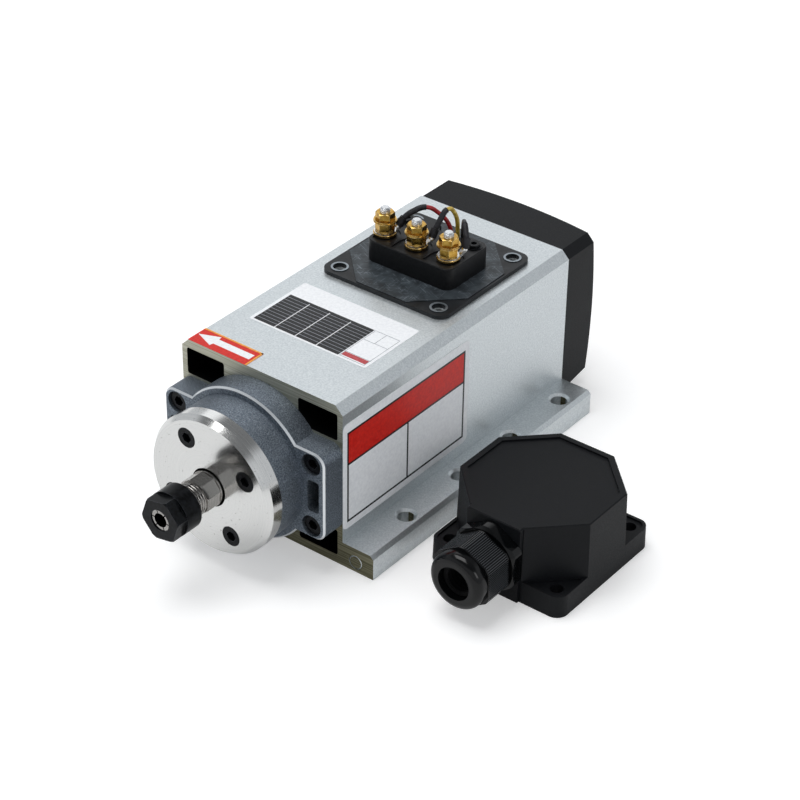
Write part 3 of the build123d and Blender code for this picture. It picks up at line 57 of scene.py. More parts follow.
# %% Camera
AZIMUTH = math.radians(37.512)
ELEVATION = math.radians(33.587)
ROLL = math.radians(0.808)
DISTANCE = 999.55 * MM
TARGET = Vector((-6.244, 8.0, 13.039)) * MM
LENS = 107.55
SHIFT = (0.0101, -0.0056)
FAR_LIMIT = 10

back = Vector((
    math.sin(AZIMUTH) * math.cos(ELEVATION),
    -math.cos(AZIMUTH) * math.cos(ELEVATION),
    math.sin(ELEVATION),
))
right = Vector((0, 0, 1)).cross(back).normalized()
up = back.cross(right)
turn = Matrix((right, up, back)).transposed().to_4x4() @ Matrix.Rotation(ROLL, 4, "Z")
camera = bpy.data.objects.new("camera", bpy.data.cameras.new("camera"))
camera.data.lens = LENS
camera.data.shift_x, camera.data.shift_y = SHIFT
camera.data.clip_end = FAR_LIMIT
camera.matrix_world = Matrix.Translation(TARGET + back * DISTANCE) @ turn
scene.collection.objects.link(camera)
scene.camera = camera
scene.view_settings.view_transform = "Standard"
print("camera at", [round(v, 3) for v in camera.matrix_world.translation])

# %% [markdown]
# ## Node helper and colours
# Every finish below is a small tree of shader nodes. One function adds a node, sets its options
# and links its inputs, which keeps each tree short enough to read. Colours are written as the hex
# values that a paint chart would give. Blender mixes light in linear values, so one function
# turns the hex into those.

# %% Helpers for node trees
def add(tree, kind, inputs=None, **settings):
    """Add a node; an input is given a value, or the output socket that feeds it."""
    made = tree.nodes.new(kind)
    for name, value in settings.items():
        setattr(made, name, value)
    for name, value in (inputs or {}).items():
        if isinstance(value, bpy.types.NodeSocket):
            tree.links.new(value, made.inputs[name])
        else:
            made.inputs[name].default_value = value
    return made


def linear(code):
    """Linear red, green, blue and alpha of an sRGB hex colour."""
    channels = [int(code[i:i + 2], 16) / 255 for i in (1, 3, 5)]
    return [c / 12.92 if c <= 0.04045 else ((c + 0.055) / 1.055) ** 2.4 for c in channels] + [1.0]


FINISHES = {}


def new_finish(name, **values):
    """A material with a Principled shader; returns its tree, the shader and object coordinates."""
    material = bpy.data.materials.new(name)
    material.use_nodes = True
    tree = material.node_tree
    shader = tree.nodes["Principled BSDF"]
    for socket, value in values.items():
        shader.inputs[socket.replace("_", " ")].default_value = value
    FINISHES[name] = material
    return tree, shader, add(tree, "ShaderNodeTexCoord").outputs["Object"]


print("blued steel is", [round(c, 4) for c in linear("#26282c")])

# %% [markdown]
# ## Floor
# Product pictures stand on seamless white paper. The floor is an ordinary matt white surface, so
# it keeps the object's soft shadow. It adds a little glow for rays that come from the camera or
# from a mirror, which lifts it to white there without throwing more light on the object. It lies
# a hair below the object, because two faces in one plane flicker.

# %% Floor
FLOOR_SIZE = 6.0
FLOOR_DROP = 0.05 * MM
PAPER_COLOUR = "#e6e6e6"
GLOW_FOR_CAMERA = 0.36
GLOW_FOR_MIRRORS = 0.14
floor_mesh = bpy.data.meshes.new("floor")
half_floor = FLOOR_SIZE / 2
floor_mesh.from_pydata(
    [(-half_floor, -half_floor, 0), (half_floor, -half_floor, 0),
     (half_floor, half_floor, 0), (-half_floor, half_floor, 0)],
    [], [(0, 1, 2, 3)],
)
floor = bpy.data.objects.new("floor", floor_mesh)
floor.location.z = -FLOOR_DROP
scene.collection.objects.link(floor)

paper = bpy.data.materials.new("white_paper_sweep")
paper.use_nodes = True
tree = paper.node_tree
tree.nodes.clear()
matt = add(tree, "ShaderNodeBsdfDiffuse", {"Color": linear(PAPER_COLOUR)})
rays = add(tree, "ShaderNodeLightPath")
amount = None
for kind, strength in (("Is Camera Ray", GLOW_FOR_CAMERA), ("Is Glossy Ray", GLOW_FOR_MIRRORS)):
    values = {0: rays.outputs[kind], 1: strength}
    part = add(tree, "ShaderNodeMath", values, operation="MULTIPLY").outputs[0]
    amount = part if amount is None else add(tree, "ShaderNodeMath", {0: amount, 1: part}).outputs[0]
glow = add(tree, "ShaderNodeEmission", {"Color": (1, 1, 1, 1), "Strength": amount})
both = add(tree, "ShaderNodeAddShader", {0: matt.outputs[0], 1: glow.outputs[0]})
add(tree, "ShaderNodeOutputMaterial", {"Surface": both.outputs[0]})
floor_mesh.materials.append(paper)
print("floor side in metres:", FLOOR_SIZE)

# %% [markdown]
# ## Sky
# Bare metal shows what stands round it. The sky has a pale wall up to a certain height and a dim
# ceiling above it, and that difference is what draws the flats of the shaft and the bevels. It is
# a shade cool, as daylight is. For the camera itself the backdrop is plain white.

# %% Sky
SKY_COLOUR = "#f3f6fa"
WALL_STRENGTH = 0.66
CEILING_STRENGTH = 0.2
WALL_TOP = math.sin(math.radians(34))
CEILING_START = math.sin(math.radians(44))
world = bpy.data.worlds.new("studio")
scene.world = world
world.use_nodes = True
tree = world.node_tree
tree.nodes.clear()
gaze = add(tree, "ShaderNodeTexCoord").outputs["Generated"]
direction = add(tree, "ShaderNodeSeparateXYZ", {0: gaze})
ceiling = add(tree, "ShaderNodeMapRange", {
    "Value": direction.outputs[2], "From Min": WALL_TOP, "From Max": CEILING_START,
    "To Min": WALL_STRENGTH, "To Max": CEILING_STRENGTH,
})
sky = add(tree, "ShaderNodeBackground", {
    "Color": linear(SKY_COLOUR), "Strength": ceiling.outputs[0],
})
white = add(tree, "ShaderNodeBackground", {"Color": (1, 1, 1, 1), "Strength": 1.0})
rays = add(tree, "ShaderNodeLightPath")
mixed = add(tree, "ShaderNodeMixShader", {
    0: rays.outputs["Is Camera Ray"], 1: sky.outputs[0], 2: white.outputs[0],
})
add(tree, "ShaderNodeOutputWorld", {"Surface": mixed.outputs[0]})
print("wall and ceiling strengths:", WALL_STRENGTH, CEILING_STRENGTH)

# %% [markdown]
# ## Lamps
# Three square softboxes face the object. The one above is the main light, the one on the right
# fills the long side, and the small one behind puts a gleam on the rims. A softbox is an area
# lamp, whose size decides how soft the shadows are.

# %% Lamps
AIM = (0, 0, 0.04)
# Name, place and side in metres, power in watts
LAMPS = (
    ("softbox_above", (-0.3, -0.1, 1.5), 1.1, 16),
    ("softbox_right", (1.5, -0.4, 0.8), 0.6, 3),
    ("softbox_back", (-0.85, 1.1, 0.8), 0.8, 1.1),
)


def softbox(name, place, size, power):
    """A square lamp that faces the object."""
    lamp = bpy.data.lights.new(name, "AREA")
    lamp.size = size
    lamp.energy = power
    thing = bpy.data.objects.new(name, lamp)
    thing.location = place
    thing.rotation_euler = (Vector(AIM) - Vector(place)).to_track_quat("-Z", "Y").to_euler()
    scene.collection.objects.link(thing)


for lamp_row in LAMPS:
    softbox(*lamp_row)

# %% [markdown]
# ## Grains and their colours
# Metal, plastic and rubber all get their life from small changes of colour and height. Most of
# those are grains of some size, which a noise gives. Sizes are given in millimetres and turned
# into the noise's scale here, because Blender measures this object in metres. The noise then
# steers two things: a mix of two colours, and a number such as the roughness.

# %% Grains, tints and levels
# Sockets of the Mix node when it mixes colours
MIX_FIRST, MIX_SECOND, MIX_RESULT = 6, 7, 2


def grains(tree, coords, size, stretch=(1, 1, 1), detail=3):
    """Noise with grains of a size in millimetres, longer along an axis by its stretch."""
    scale = tuple(1 / (size * MM * s) for s in stretch)
    place = add(tree, "ShaderNodeMapping", {"Vector": coords, "Scale": scale})
    values = {"Vector": place.outputs[0], "Scale": 1.0, "Detail": detail}
    return add(tree, "ShaderNodeTexNoise", values).outputs["Fac"]


def tint(tree, amount, first, second, low=0.35, high=0.65):
    """A colour that goes from the first to the second as the amount rises from low to high."""
    ramp = add(tree, "ShaderNodeMapRange", {"Value": amount, "From Min": low, "From Max": high})
    mix = add(tree, "ShaderNodeMix", {"Factor": ramp.outputs[0]}, data_type="RGBA")
    for socket, colour in ((MIX_FIRST, first), (MIX_SECOND, second)):
        if isinstance(colour, str):
            mix.inputs[socket].default_value = linear(colour)
        else:
            tree.links.new(colour, mix.inputs[socket])
    return mix.outputs[MIX_RESULT]


def level(tree, amount, low, high, start=0.3, end=0.7):
    """A number from low to high as the amount goes from start to end."""
    values = {"Value": amount, "From Min": start, "From Max": end, "To Min": low, "To Max": high}
    return add(tree, "ShaderNodeMapRange", values).outputs[0]


print("a grain of 0.5 mm has scale", 1 / (0.5 * MM))

# %% [markdown]
# ## Relief, direction and edges
# Three more helpers. Relief tilts the light on a surface as fine bumps would, without adding
# faces. Facing tells which way a surface looks, which picks out machined or sawn faces. Edges
# compares a surface with a rounded copy of itself, and where the two differ there is a sharp
# edge: that is where a coating wears through first.

# %% Relief, facing and edges
# Agreement with the rounded copy at which an edge starts, and at which there is none
EDGE_SHARP = 0.82
EDGE_NONE = 0.98


def relief(tree, shader, height, strength, depth):
    """Bump of a depth in millimetres."""
    values = {"Height": height, "Strength": strength, "Distance": depth * MM}
    tree.links.new(add(tree, "ShaderNodeBump", values).outputs[0], shader.inputs["Normal"])


def facing(tree, axis):
    """How squarely a surface faces along an axis, from 0 to 1, whichever way."""
    normal = add(tree, "ShaderNodeNewGeometry").outputs["True Normal"]
    part = add(tree, "ShaderNodeSeparateXYZ", {0: normal}).outputs[axis]
    return add(tree, "ShaderNodeMath", {0: part}, operation="ABSOLUTE").outputs[0]


def edges(tree, radius):
    """1 along sharp edges within a radius in millimetres, 0 elsewhere."""
    flat = add(tree, "ShaderNodeNewGeometry").outputs["Normal"]
    soft = add(tree, "ShaderNodeBevel", {"Radius": radius * MM}, samples=4).outputs[0]
    match = add(tree, "ShaderNodeVectorMath", {0: flat, 1: soft}, operation="DOT_PRODUCT")
    return level(tree, match.outputs["Value"], 1.0, 0.0, EDGE_SHARP, EDGE_NONE)


def connect(tree, shader, **outputs):
    """Link outputs to the shader's inputs of those names."""
    for socket, output in outputs.items():
        tree.links.new(output, shader.inputs[socket.replace("_", " ")])


print("edges run from", EDGE_SHARP, "to", EDGE_NONE)

# %% [markdown]
# ## Anodised aluminium extrusion
# The housing is pushed through a die, so its skin carries very fine lines along its length. It
# is then anodised, which leaves a satin silver with a sparkle of tiny grains. The two ends are
# sawn afterwards: they are darker, warmer in colour and crossed by the marks of the saw, and a
# painted shade and highlight runs over them from dark at the bottom to pale at the top. Inside
# the channels the colour is a painted shade of near black, for the deep shadow there. Where a
# channel ends is known from the section, so this painted shade is masked by place: by half the
# width, by the height, and by the sum of both, which cuts off the bevelled corner. The real
# grain is finer than a picture can show, so it is drawn at 0.7 mm.

# %% Satin aluminium
INNER_HALF_WIDTH = 38.6 * MM
INNER_TOP = 71.2 * MM
INNER_REACH = 107.5 * MM
CORNER_FADE = 0.5 * MM
WALL_FADE = 0.4 * MM
DIE_LINE = 0.5
DIE_LINE_STRETCH = (1, 160, 1)
SAW_MARK = 0.55
SAW_MARK_STRETCH = (60, 1, 1)
SAWN_SHADE_BELOW = 20 * MM
SAWN_LIGHT_ABOVE = 66 * MM

# A satin silver with a faint sparkle, which goes dull and warm at the sawn ends,
# with painted shade low on those ends and a near black painted shade in the channels
tree, shader, coords = new_finish("satin_aluminium", Metallic=0.9)
lines = grains(tree, coords, DIE_LINE, DIE_LINE_STRETCH, 2)
sparkle = grains(tree, coords, 0.7)
skin = tint(tree, sparkle, "#c4cbcf", "#e6ebed")
skin = tint(tree, lines, skin, "#d3d9db", 0.3, 0.8)
split = add(tree, "ShaderNodeSeparateXYZ", {0: coords})
height = split.outputs[2]
aside = add(tree, "ShaderNodeMath", {0: split.outputs[0]}, operation="ABSOLUTE").outputs[0]
reach = add(tree, "ShaderNodeMath", {0: aside, 1: height}).outputs[0]
inside = level(tree, reach, 1, 0, INNER_REACH, INNER_REACH + CORNER_FADE)
for place, end in ((aside, INNER_HALF_WIDTH), (height, INNER_TOP)):
    limit = level(tree, place, 1, 0, end, end + WALL_FADE)
    inside = add(tree, "ShaderNodeMath", {0: inside, 1: limit}, operation="MULTIPLY").outputs[0]
# Painted shade: near black inside the channels, for the deep shadow there
skin = tint(tree, inside, skin, "#17191a", 0.4, 0.6)
saw_marks = grains(tree, coords, SAW_MARK, SAW_MARK_STRETCH, 2)
shaded_end = tint(tree, saw_marks, "#55533f", "#817e68")
lit_end = tint(tree, saw_marks, "#9c9b88", "#c3c3b6")
# Painted shade and highlight: the sawn ends run from dark at the bottom to pale at the top
sawn = tint(tree, height, shaded_end, lit_end, SAWN_SHADE_BELOW, SAWN_LIGHT_ABOVE)
ends = level(tree, facing(tree, "Y"), 0, 1, 0.9, 0.95)
connect(
    tree, shader,
    Base_Color=tint(tree, ends, skin, sawn, 0.4, 0.6),
    Roughness=level(tree, sparkle, 0.36, 0.46),
)
relief(tree, shader, sparkle, 0.12, 0.05)
print("satin aluminium made")

# %% [markdown]
# ## Cast aluminium
# The front cap and the rear bracket are die castings that were blasted and tumbled: a blue-grey
# skin of coarse grains. The rims round the cap's front were machined after casting, so a band
# that slants between facing forwards and facing sideways is bright.

# %% Cast aluminium
BLAST_COARSE = 1.1
BLAST_FINE = 0.45

# Grainy and dull, so that light spreads over it, with bright machined rims
tree, shader, coords = new_finish("cast_aluminium", Metallic=0.85)
coarse = grains(tree, coords, BLAST_COARSE, detail=4)
fine = grains(tree, coords, BLAST_FINE, detail=2)
skin = tint(tree, fine, "#505963", "#9aa3ac", 0.38, 0.68)
skin = tint(tree, coarse, skin, "#6a737d", 0.3, 0.9)
slant = facing(tree, "Y")
rising = level(tree, slant, 0, 1, 0.5, 0.6)
falling = level(tree, slant, 1, 0, 0.8, 0.9)
machined = add(tree, "ShaderNodeMath", {0: rising, 1: falling}, operation="MULTIPLY").outputs[0]
connect(
    tree, shader,
    Base_Color=tint(tree, machined, skin, "#dfe3e6", 0, 1),
    Roughness=level(tree, machined, 0.52, 0.3, 0, 1),
)
relief(tree, shader, fine, 0.35, 0.12)
print("cast aluminium made")

# %% [markdown]
# ## Rings left by the lathe
# A lathe leaves rings round its axis. The front flange, the shaft and the collet share one axis,
# so the distance from it gives rings on a face, and the place along it gives rings on a barrel.
# Their noise is one-dimensional: only that distance counts.

# %% Lathe rings
SPINDLE_Z = 36.5 * MM


def lathe_rings(tree, coords, size):
    """Noise in rings round the spindle's axis, of a size in millimetres."""
    place = add(tree, "ShaderNodeVectorMath", {0: coords, 1: (0, 0, -SPINDLE_Z)}).outputs[0]
    split = add(tree, "ShaderNodeSeparateXYZ", {0: place})
    across = add(tree, "ShaderNodeCombineXYZ", {0: split.outputs[0], 2: split.outputs[2]}).outputs[0]
    radius = add(tree, "ShaderNodeVectorMath", {0: across}, operation="LENGTH").outputs["Value"]
    total = add(tree, "ShaderNodeMath", {0: radius, 1: split.outputs[1]}).outputs[0]
    values = {"W": total, "Scale": 1 / (size * MM), "Detail": 3.0}
    return add(tree, "ShaderNodeTexNoise", values, noise_dimensions="1D").outputs[0]


print("the spindle's axis is", round(SPINDLE_Z, 4), "m above the floor")

# %% [markdown]
# ## Turned and ground metals
# The flange is turned from aluminium and left bright, with a few dark specks where chips were
# caught. The shaft is hardened and ground, which is darker and finer. The bearings' rings are
# lapped after grinding, so they are the smoothest of the three. The real rings are about 0.1 mm
# apart, too fine to show, and are drawn three times as coarse.

# %% Turned and ground metals
# A mirror softened by fine rings
tree, shader, coords = new_finish("polished_aluminium", Metallic=1.0)
rings = lathe_rings(tree, coords, 0.3)
specks = grains(tree, coords, 0.8, detail=2)
skin = tint(tree, rings, "#d6d7d6", "#e6e6e4", 0.3, 0.7)
connect(
    tree, shader,
    Base_Color=tint(tree, specks, skin, "#8f8b87", 0.68, 0.75),
    Roughness=level(tree, rings, 0.13, 0.2),
)
relief(tree, shader, rings, 0.015, 0.01)

# Darker than the flange, and just as shiny
tree, shader, coords = new_finish("ground_steel", Metallic=1.0)
rings = lathe_rings(tree, coords, 0.35)
connect(
    tree, shader,
    Base_Color=tint(tree, rings, "#93908c", "#b5b3b0", 0.3, 0.7),
    Roughness=level(tree, rings, 0.1, 0.2),
)
relief(tree, shader, rings, 0.03, 0.02)

# Pale and nearly a mirror
tree, shader, coords = new_finish("bearing_steel", Metallic=1.0)
rings = lathe_rings(tree, coords, 0.3)
connect(
    tree, shader,
    Base_Color=tint(tree, rings, "#c2c3c5", "#d4d5d6"),
    Roughness=level(tree, rings, 0.08, 0.16),
)
print("turned and ground metals made")

# %% [markdown]
# ## Black oxide and spring steel
# Black oxide is a thin dark film that a hot salt bath leaves on steel, as on the screws and the
# collet nut. It keeps a satin gleam, and it wears to bare metal at the edges, which the edge mask
# brings out. The preload spring is tempered instead, to a blue-grey.

# %% Dark steels
# Nearly black, with a satin gleam and paler edges
tree, shader, coords = new_finish("black_oxide_steel", Metallic=0.6, Specular_IOR_Level=0.25)
film = grains(tree, coords, 1.4)
wear_and_highlight = edges(tree, 0.25)
connect(
    tree, shader,
    Base_Color=tint(tree, wear_and_highlight, tint(tree, film, "#0b0c0d", "#191b1e"), "#5a5d63", 0.3, 1.2),
    Roughness=level(tree, film, 0.28, 0.4),
)
relief(tree, shader, film, 0.05, 0.05)

# Blue-grey with a soft shine
tree, shader, coords = new_finish("spring_steel", Metallic=0.9)
film = grains(tree, coords, 1.0)
connect(
    tree, shader,
    Base_Color=tint(tree, film, "#3a3c44", "#5b5d66"),
    Roughness=level(tree, film, 0.25, 0.4),
)
print("dark steels made")

# %% [markdown]
# ## The motor's inside
# These pieces are hardly seen, but each has its own look. The cores are stacks of thin sheets, so
# their noise is stretched across the axis and short along it. The winding is lacquered wire, with
# a clear coat over copper. The rotor's cage is a plain casting in aluminium.

# %% Stacked sheets, copper and the cage
SHEET_STRETCH = (400, 0.5, 400)
STRAND_STRETCH = (3, 1, 3)

# Dull grey with the fine steps of stacked sheets
tree, shader, coords = new_finish("lamination_steel", Metallic=0.8)
sheets = grains(tree, coords, 1.0, SHEET_STRETCH, 1)
connect(
    tree, shader,
    Base_Color=tint(tree, sheets, "#4c4a47", "#85827d"),
    Roughness=level(tree, sheets, 0.4, 0.6),
)
relief(tree, shader, sheets, 0.3, 0.1)

# Warm red-brown under a shiny lacquer
tree, shader, coords = new_finish(
    "enamelled_copper", Metallic=0.7, Coat_Weight=0.5, Coat_Roughness=0.2,
)
strands = grains(tree, coords, 0.8, STRAND_STRETCH, 2)
connect(
    tree, shader,
    Base_Color=tint(tree, strands, "#5c2a12", "#a65a2a"),
    Roughness=level(tree, strands, 0.3, 0.45),
)
relief(tree, shader, strands, 0.6, 0.3)

# Plain cast grey
tree, shader, coords = new_finish("cage_aluminium", Metallic=0.9)
skin = grains(tree, coords, 0.9)
connect(
    tree, shader,
    Base_Color=tint(tree, skin, "#8f9296", "#b4b7ba"),
    Roughness=level(tree, skin, 0.4, 0.55),
)
relief(tree, shader, skin, 0.2, 0.1)
print("inner metals made")

# %% [markdown]
# ## Covers of glass-filled nylon
# The fan cover and the loose terminal cover are injection moulded from glass-filled nylon. The
# mould is spark eroded, which leaves a fine even grain, dark and hardly glossy. A second, much
# larger noise gives the faint clouds that such plastic has.

# %% Matt black plastic
MOULD_GRAIN = 0.5
CLOUD = 14

# Deep black that spreads what little light it returns
tree, shader, coords = new_finish("black_plastic", IOR=1.5, Specular_IOR_Level=0.16)
grain = grains(tree, coords, MOULD_GRAIN, detail=2)
cloud = grains(tree, coords, CLOUD)
skin = tint(tree, grain, "#0b0c0e", "#131518", 0.3, 0.7)
connect(
    tree, shader,
    Base_Color=tint(tree, cloud, skin, "#101215", 0.4, 0.8),
    Roughness=level(tree, grain, 0.42, 0.56),
)
relief(tree, shader, grain, 0.22, 0.06)
print("matt plastic made, with a grain of", MOULD_GRAIN, "mm")

# %% [markdown]
# ## Gland of polished nylon
# The gland is moulded from nylon in a polished mould, so it shines. Its nut has ribs along its
# sides for the fingers, cut in the CAD piece. Their crests carry a painted highlight of dark
# grey, which stands for the gleam along them and is what makes them show. The angle round the
# nut's axis, times the number of ribs, gives a wave that is lowest on the crests, and a band
# along the axis keeps it to the ribbed part.

# %% Glossy black plastic
RIB_COUNT = 96
GLAND_X = 93.8 * MM
GLAND_Z = 18.1 * MM
RIBS_FRONT = -77.5 * MM
RIBS_REAR = -65.5 * MM
RIB_FADE = 0.2 * MM
CREST_FULL = -0.9
CREST_NONE = 0.1

# Black with sharp highlights, and a painted grey highlight on the crests of its ribs
tree, shader, coords = new_finish("gland_plastic", IOR=1.5, Specular_IOR_Level=0.28)
flow = grains(tree, coords, 6)
x, y, z = add(tree, "ShaderNodeSeparateXYZ", {0: coords}).outputs
aside = add(tree, "ShaderNodeMath", {0: x, 1: GLAND_X}, operation="SUBTRACT").outputs[0]
above = add(tree, "ShaderNodeMath", {0: z, 1: GLAND_Z}, operation="SUBTRACT").outputs[0]
angle = add(tree, "ShaderNodeMath", {0: above, 1: aside}, operation="ARCTAN2").outputs[0]
wave = add(tree, "ShaderNodeMath", {0: angle, 1: RIB_COUNT}, operation="MULTIPLY").outputs[0]
wave = add(tree, "ShaderNodeMath", {0: wave}, operation="COSINE").outputs[0]
# Painted highlight: dark grey on the crests of the ribs, within the ribbed band
crest = level(tree, wave, 1, 0, CREST_FULL, CREST_NONE)
front = level(tree, y, 0, 1, RIBS_FRONT, RIBS_FRONT + RIB_FADE)
rear = level(tree, y, 1, 0, RIBS_REAR - RIB_FADE, RIBS_REAR)
band = add(tree, "ShaderNodeMath", {0: front, 1: rear}, operation="MULTIPLY").outputs[0]
wear_and_highlight = add(tree, "ShaderNodeMath", {0: crest, 1: band}, operation="MULTIPLY").outputs[0]
black = tint(tree, flow, "#060708", "#0b0c0d")
connect(
    tree, shader,
    Base_Color=tint(tree, wear_and_highlight, black, "#3c3f42", 0, 1),
    Roughness=level(tree, flow, 0.1, 0.18),
)
print("glossy plastic made, with", RIB_COUNT, "ribs")

# %% [markdown]
# ## Terminal block of phenolic resin
# The block is pressed from phenolic resin, which stands the heat of a bad contact. It is hard,
# brittle and dense, with a smooth skin and a dust of filler in it.

# %% Phenolic resin
# Smooth and black, with specks of filler
tree, shader, coords = new_finish("terminal_resin", IOR=1.55, Specular_IOR_Level=0.25)
dust = grains(tree, coords, 0.9)
connect(
    tree, shader,
    Base_Color=tint(tree, dust, "#08080a", "#131416"),
    Roughness=level(tree, dust, 0.3, 0.42),
)
relief(tree, shader, dust, 0.06, 0.05)
print("phenolic resin made")

# %% [markdown]
# ## The scuffed terminal plate
# The plate under the terminal block is painted black. Where the cover's gasket and many hands
# have rubbed it, inside the raised octagon, the paint is grey with fine scratches in all
# directions. Round its four holes a bright ring of metal shows. The scratches are three noises,
# each stretched along its own direction, and the highest of the three is kept. The four holes
# are one measure: both distances from the plate's centre are folded on the same corner.

# %% Terminal plate
PLATE_CENTRE = (1.1 * MM, 20.2 * MM)
PLATE_HOLE_REACH = 25 * MM
RING_INNER = 3.6 * MM
RING_OUTER = 3.8 * MM
PAD_LEVEL = 74.85 * MM
PAD_FADE = 0.02 * MM
SCRATCH = 0.35
SCRATCH_STRETCH = (18, 1, 1)
SCRATCH_TURNS = (0.4, 1.5, 2.3)

# Black paint, rubbed grey and scratched, with bare rims round the holes
tree, shader, coords = new_finish("plate_black", IOR=1.5, Specular_IOR_Level=0.3)
split = add(tree, "ShaderNodeSeparateXYZ", {0: coords})
scratches = None
for angle in SCRATCH_TURNS:
    turned = add(tree, "ShaderNodeMapping", {"Vector": coords, "Rotation": (0, 0, angle)}).outputs[0]
    marks = grains(tree, turned, SCRATCH, SCRATCH_STRETCH, 1)
    marks = level(tree, marks, 0, 1, 0.62, 0.72)
    scratches = marks if scratches is None else add(
        tree, "ShaderNodeMath", {0: scratches, 1: marks}, operation="MAXIMUM"
    ).outputs[0]
rubbed = grains(tree, coords, 5)
wear_and_highlight = add(tree, "ShaderNodeMath", {0: scratches, 1: rubbed}, operation="MULTIPLY").outputs[0]
pad = tint(tree, rubbed, "#262b2f", "#3b4247")
pad = tint(tree, wear_and_highlight, pad, "#79828a", 0.25, 0.8)
outer = tint(tree, rubbed, "#0f1113", "#1a1d20")
on_pad = level(tree, split.outputs[2], 0, 1, PAD_LEVEL, PAD_LEVEL + PAD_FADE)
skin = tint(tree, on_pad, outer, pad, 0, 1)
corner = []
for axis, centre in zip((0, 1), PLATE_CENTRE):
    away = add(tree, "ShaderNodeMath", {0: split.outputs[axis], 1: centre}, operation="SUBTRACT")
    away = add(tree, "ShaderNodeMath", {0: away.outputs[0]}, operation="ABSOLUTE")
    values = {0: away.outputs[0], 1: PLATE_HOLE_REACH}
    corner.append(add(tree, "ShaderNodeMath", values, operation="SUBTRACT").outputs[0])
flat = add(tree, "ShaderNodeCombineXYZ", {0: corner[0], 1: corner[1]}).outputs[0]
from_hole = add(tree, "ShaderNodeVectorMath", {0: flat}, operation="LENGTH").outputs["Value"]
rim = level(tree, from_hole, 1, 0, RING_INNER, RING_OUTER)
rim = add(tree, "ShaderNodeMath", {0: rim, 1: on_pad}, operation="MULTIPLY").outputs[0]
connect(
    tree, shader,
    Base_Color=tint(tree, rim, skin, "#9aa2a8", 0, 1),
    Metallic=rim,
    Roughness=level(tree, scratches, 0.42, 0.3, 0, 1),
)
relief(tree, shader, scratches, 0.15, 0.03)
print("terminal plate made")

# %% [markdown]
# ## Brass, zinc and tin
# The nuts and washers are turned brass that has yellowed a little in its hollows and stays
# bright on its edges. The studs are steel with a bright zinc skin. The lugs are copper under tin,
# the palest metal here.

# %% Small bright metals
# Golden, with pale polished edges
tree, shader, coords = new_finish("brass", Metallic=1.0)
tarnish = grains(tree, coords, 1.6)
skin = tint(tree, tarnish, "#a97f33", "#d3ab55")
connect(
    tree, shader,
    Base_Color=tint(tree, edges(tree, 0.3), skin, "#f3e6b8", 0.2, 1),
    Roughness=level(tree, tarnish, 0.14, 0.26),
)
relief(tree, shader, tarnish, 0.04, 0.05)

# Cool silver with a fine spangle
tree, shader, coords = new_finish("zinc_steel", Metallic=1.0)
spangle = grains(tree, coords, 0.6)
connect(
    tree, shader,
    Base_Color=tint(tree, spangle, "#c9cccf", "#eceef0"),
    Roughness=level(tree, spangle, 0.22, 0.34),
)

# Warm white metal, softly dipped
tree, shader, coords = new_finish("tinned_copper", Metallic=1.0)
dip = grains(tree, coords, 1.2)
connect(
    tree, shader,
    Base_Color=tint(tree, dip, "#dcdad6", "#f4f3f0"),
    Roughness=level(tree, dip, 0.2, 0.32),
)
print("small bright metals made")

# %% [markdown]
# ## Insulation of the leads
# The leads are stranded copper in soft extruded plastic with a slight gloss. The three differ
# only in colour, so one loop makes them.

# %% Insulation
for name, dark, pale, gloss in (
    ("red_insulation", "#7d1015", "#a81c22", 0.3),
    ("yellow_insulation", "#a8892a", "#cdb455", 0.3),
    ("grey_insulation", "#191a1c", "#28292b", 0.35),
):
    tree, shader, coords = new_finish(name, IOR=1.52)
    run = grains(tree, coords, 1.5)
    connect(
        tree, shader,
        Base_Color=tint(tree, run, dark, pale),
        Roughness=level(tree, run, gloss, gloss + 0.1),
    )
print("insulation made")

# %% [markdown]
# ## Sleeves and rubber
# The heat-shrink sleeves are duller than the leads and keep faint wrinkles from when they shrank.
# The moulded rubber of the seal and the gasket takes the most light in of all, and it carries a
# little dust.

# %% Sleeves and rubber
WRINKLE_STRETCH = (1, 1, 2.5)

# Dull and faintly wrinkled
tree, shader, coords = new_finish("shrink_sleeve", IOR=1.5, Specular_IOR_Level=0.3)
wrinkle = grains(tree, coords, 1.3, WRINKLE_STRETCH)
connect(
    tree, shader,
    Base_Color=tint(tree, wrinkle, "#121215", "#26262b"),
    Roughness=level(tree, wrinkle, 0.45, 0.6),
)
relief(tree, shader, wrinkle, 0.3, 0.15)

# The blackest and the least glossy piece
tree, shader, coords = new_finish("seal_rubber", IOR=1.5, Specular_IOR_Level=0.15)
dust = grains(tree, coords, 0.8)
connect(
    tree, shader,
    Base_Color=tint(tree, dust, "#050506", "#0f0f10"),
    Roughness=level(tree, dust, 0.6, 0.75),
)
relief(tree, shader, dust, 0.15, 0.05)
print("finishes:", sorted(FINISHES))

# %% [markdown]
# ## Give every piece its finish
# Each piece of the frame comes with the name of its finish, and the finishes above carry the same
# names. One loop puts them on.

# %% Finish the frame's pieces
for row in frame["record"]["subparts"]:
    mesh = NODES[row["node"]].data
    mesh.materials.clear()
    mesh.materials.append(FINISHES[row["material_slot"]])

# %% [markdown]
# ## Screw threads
# A thread is a ridge that winds round a rod. A Geometry Nodes tree makes it from a spiral and a
# small four-cornered section swept along it: the section's outer corner is the crest. The same
# tree serves the nose of the shaft, where the collet nut is screwed on, and the three studs.

# %% Thread tree
SPIRAL_STEPS = 40
RIDGE_CORNERS = 4


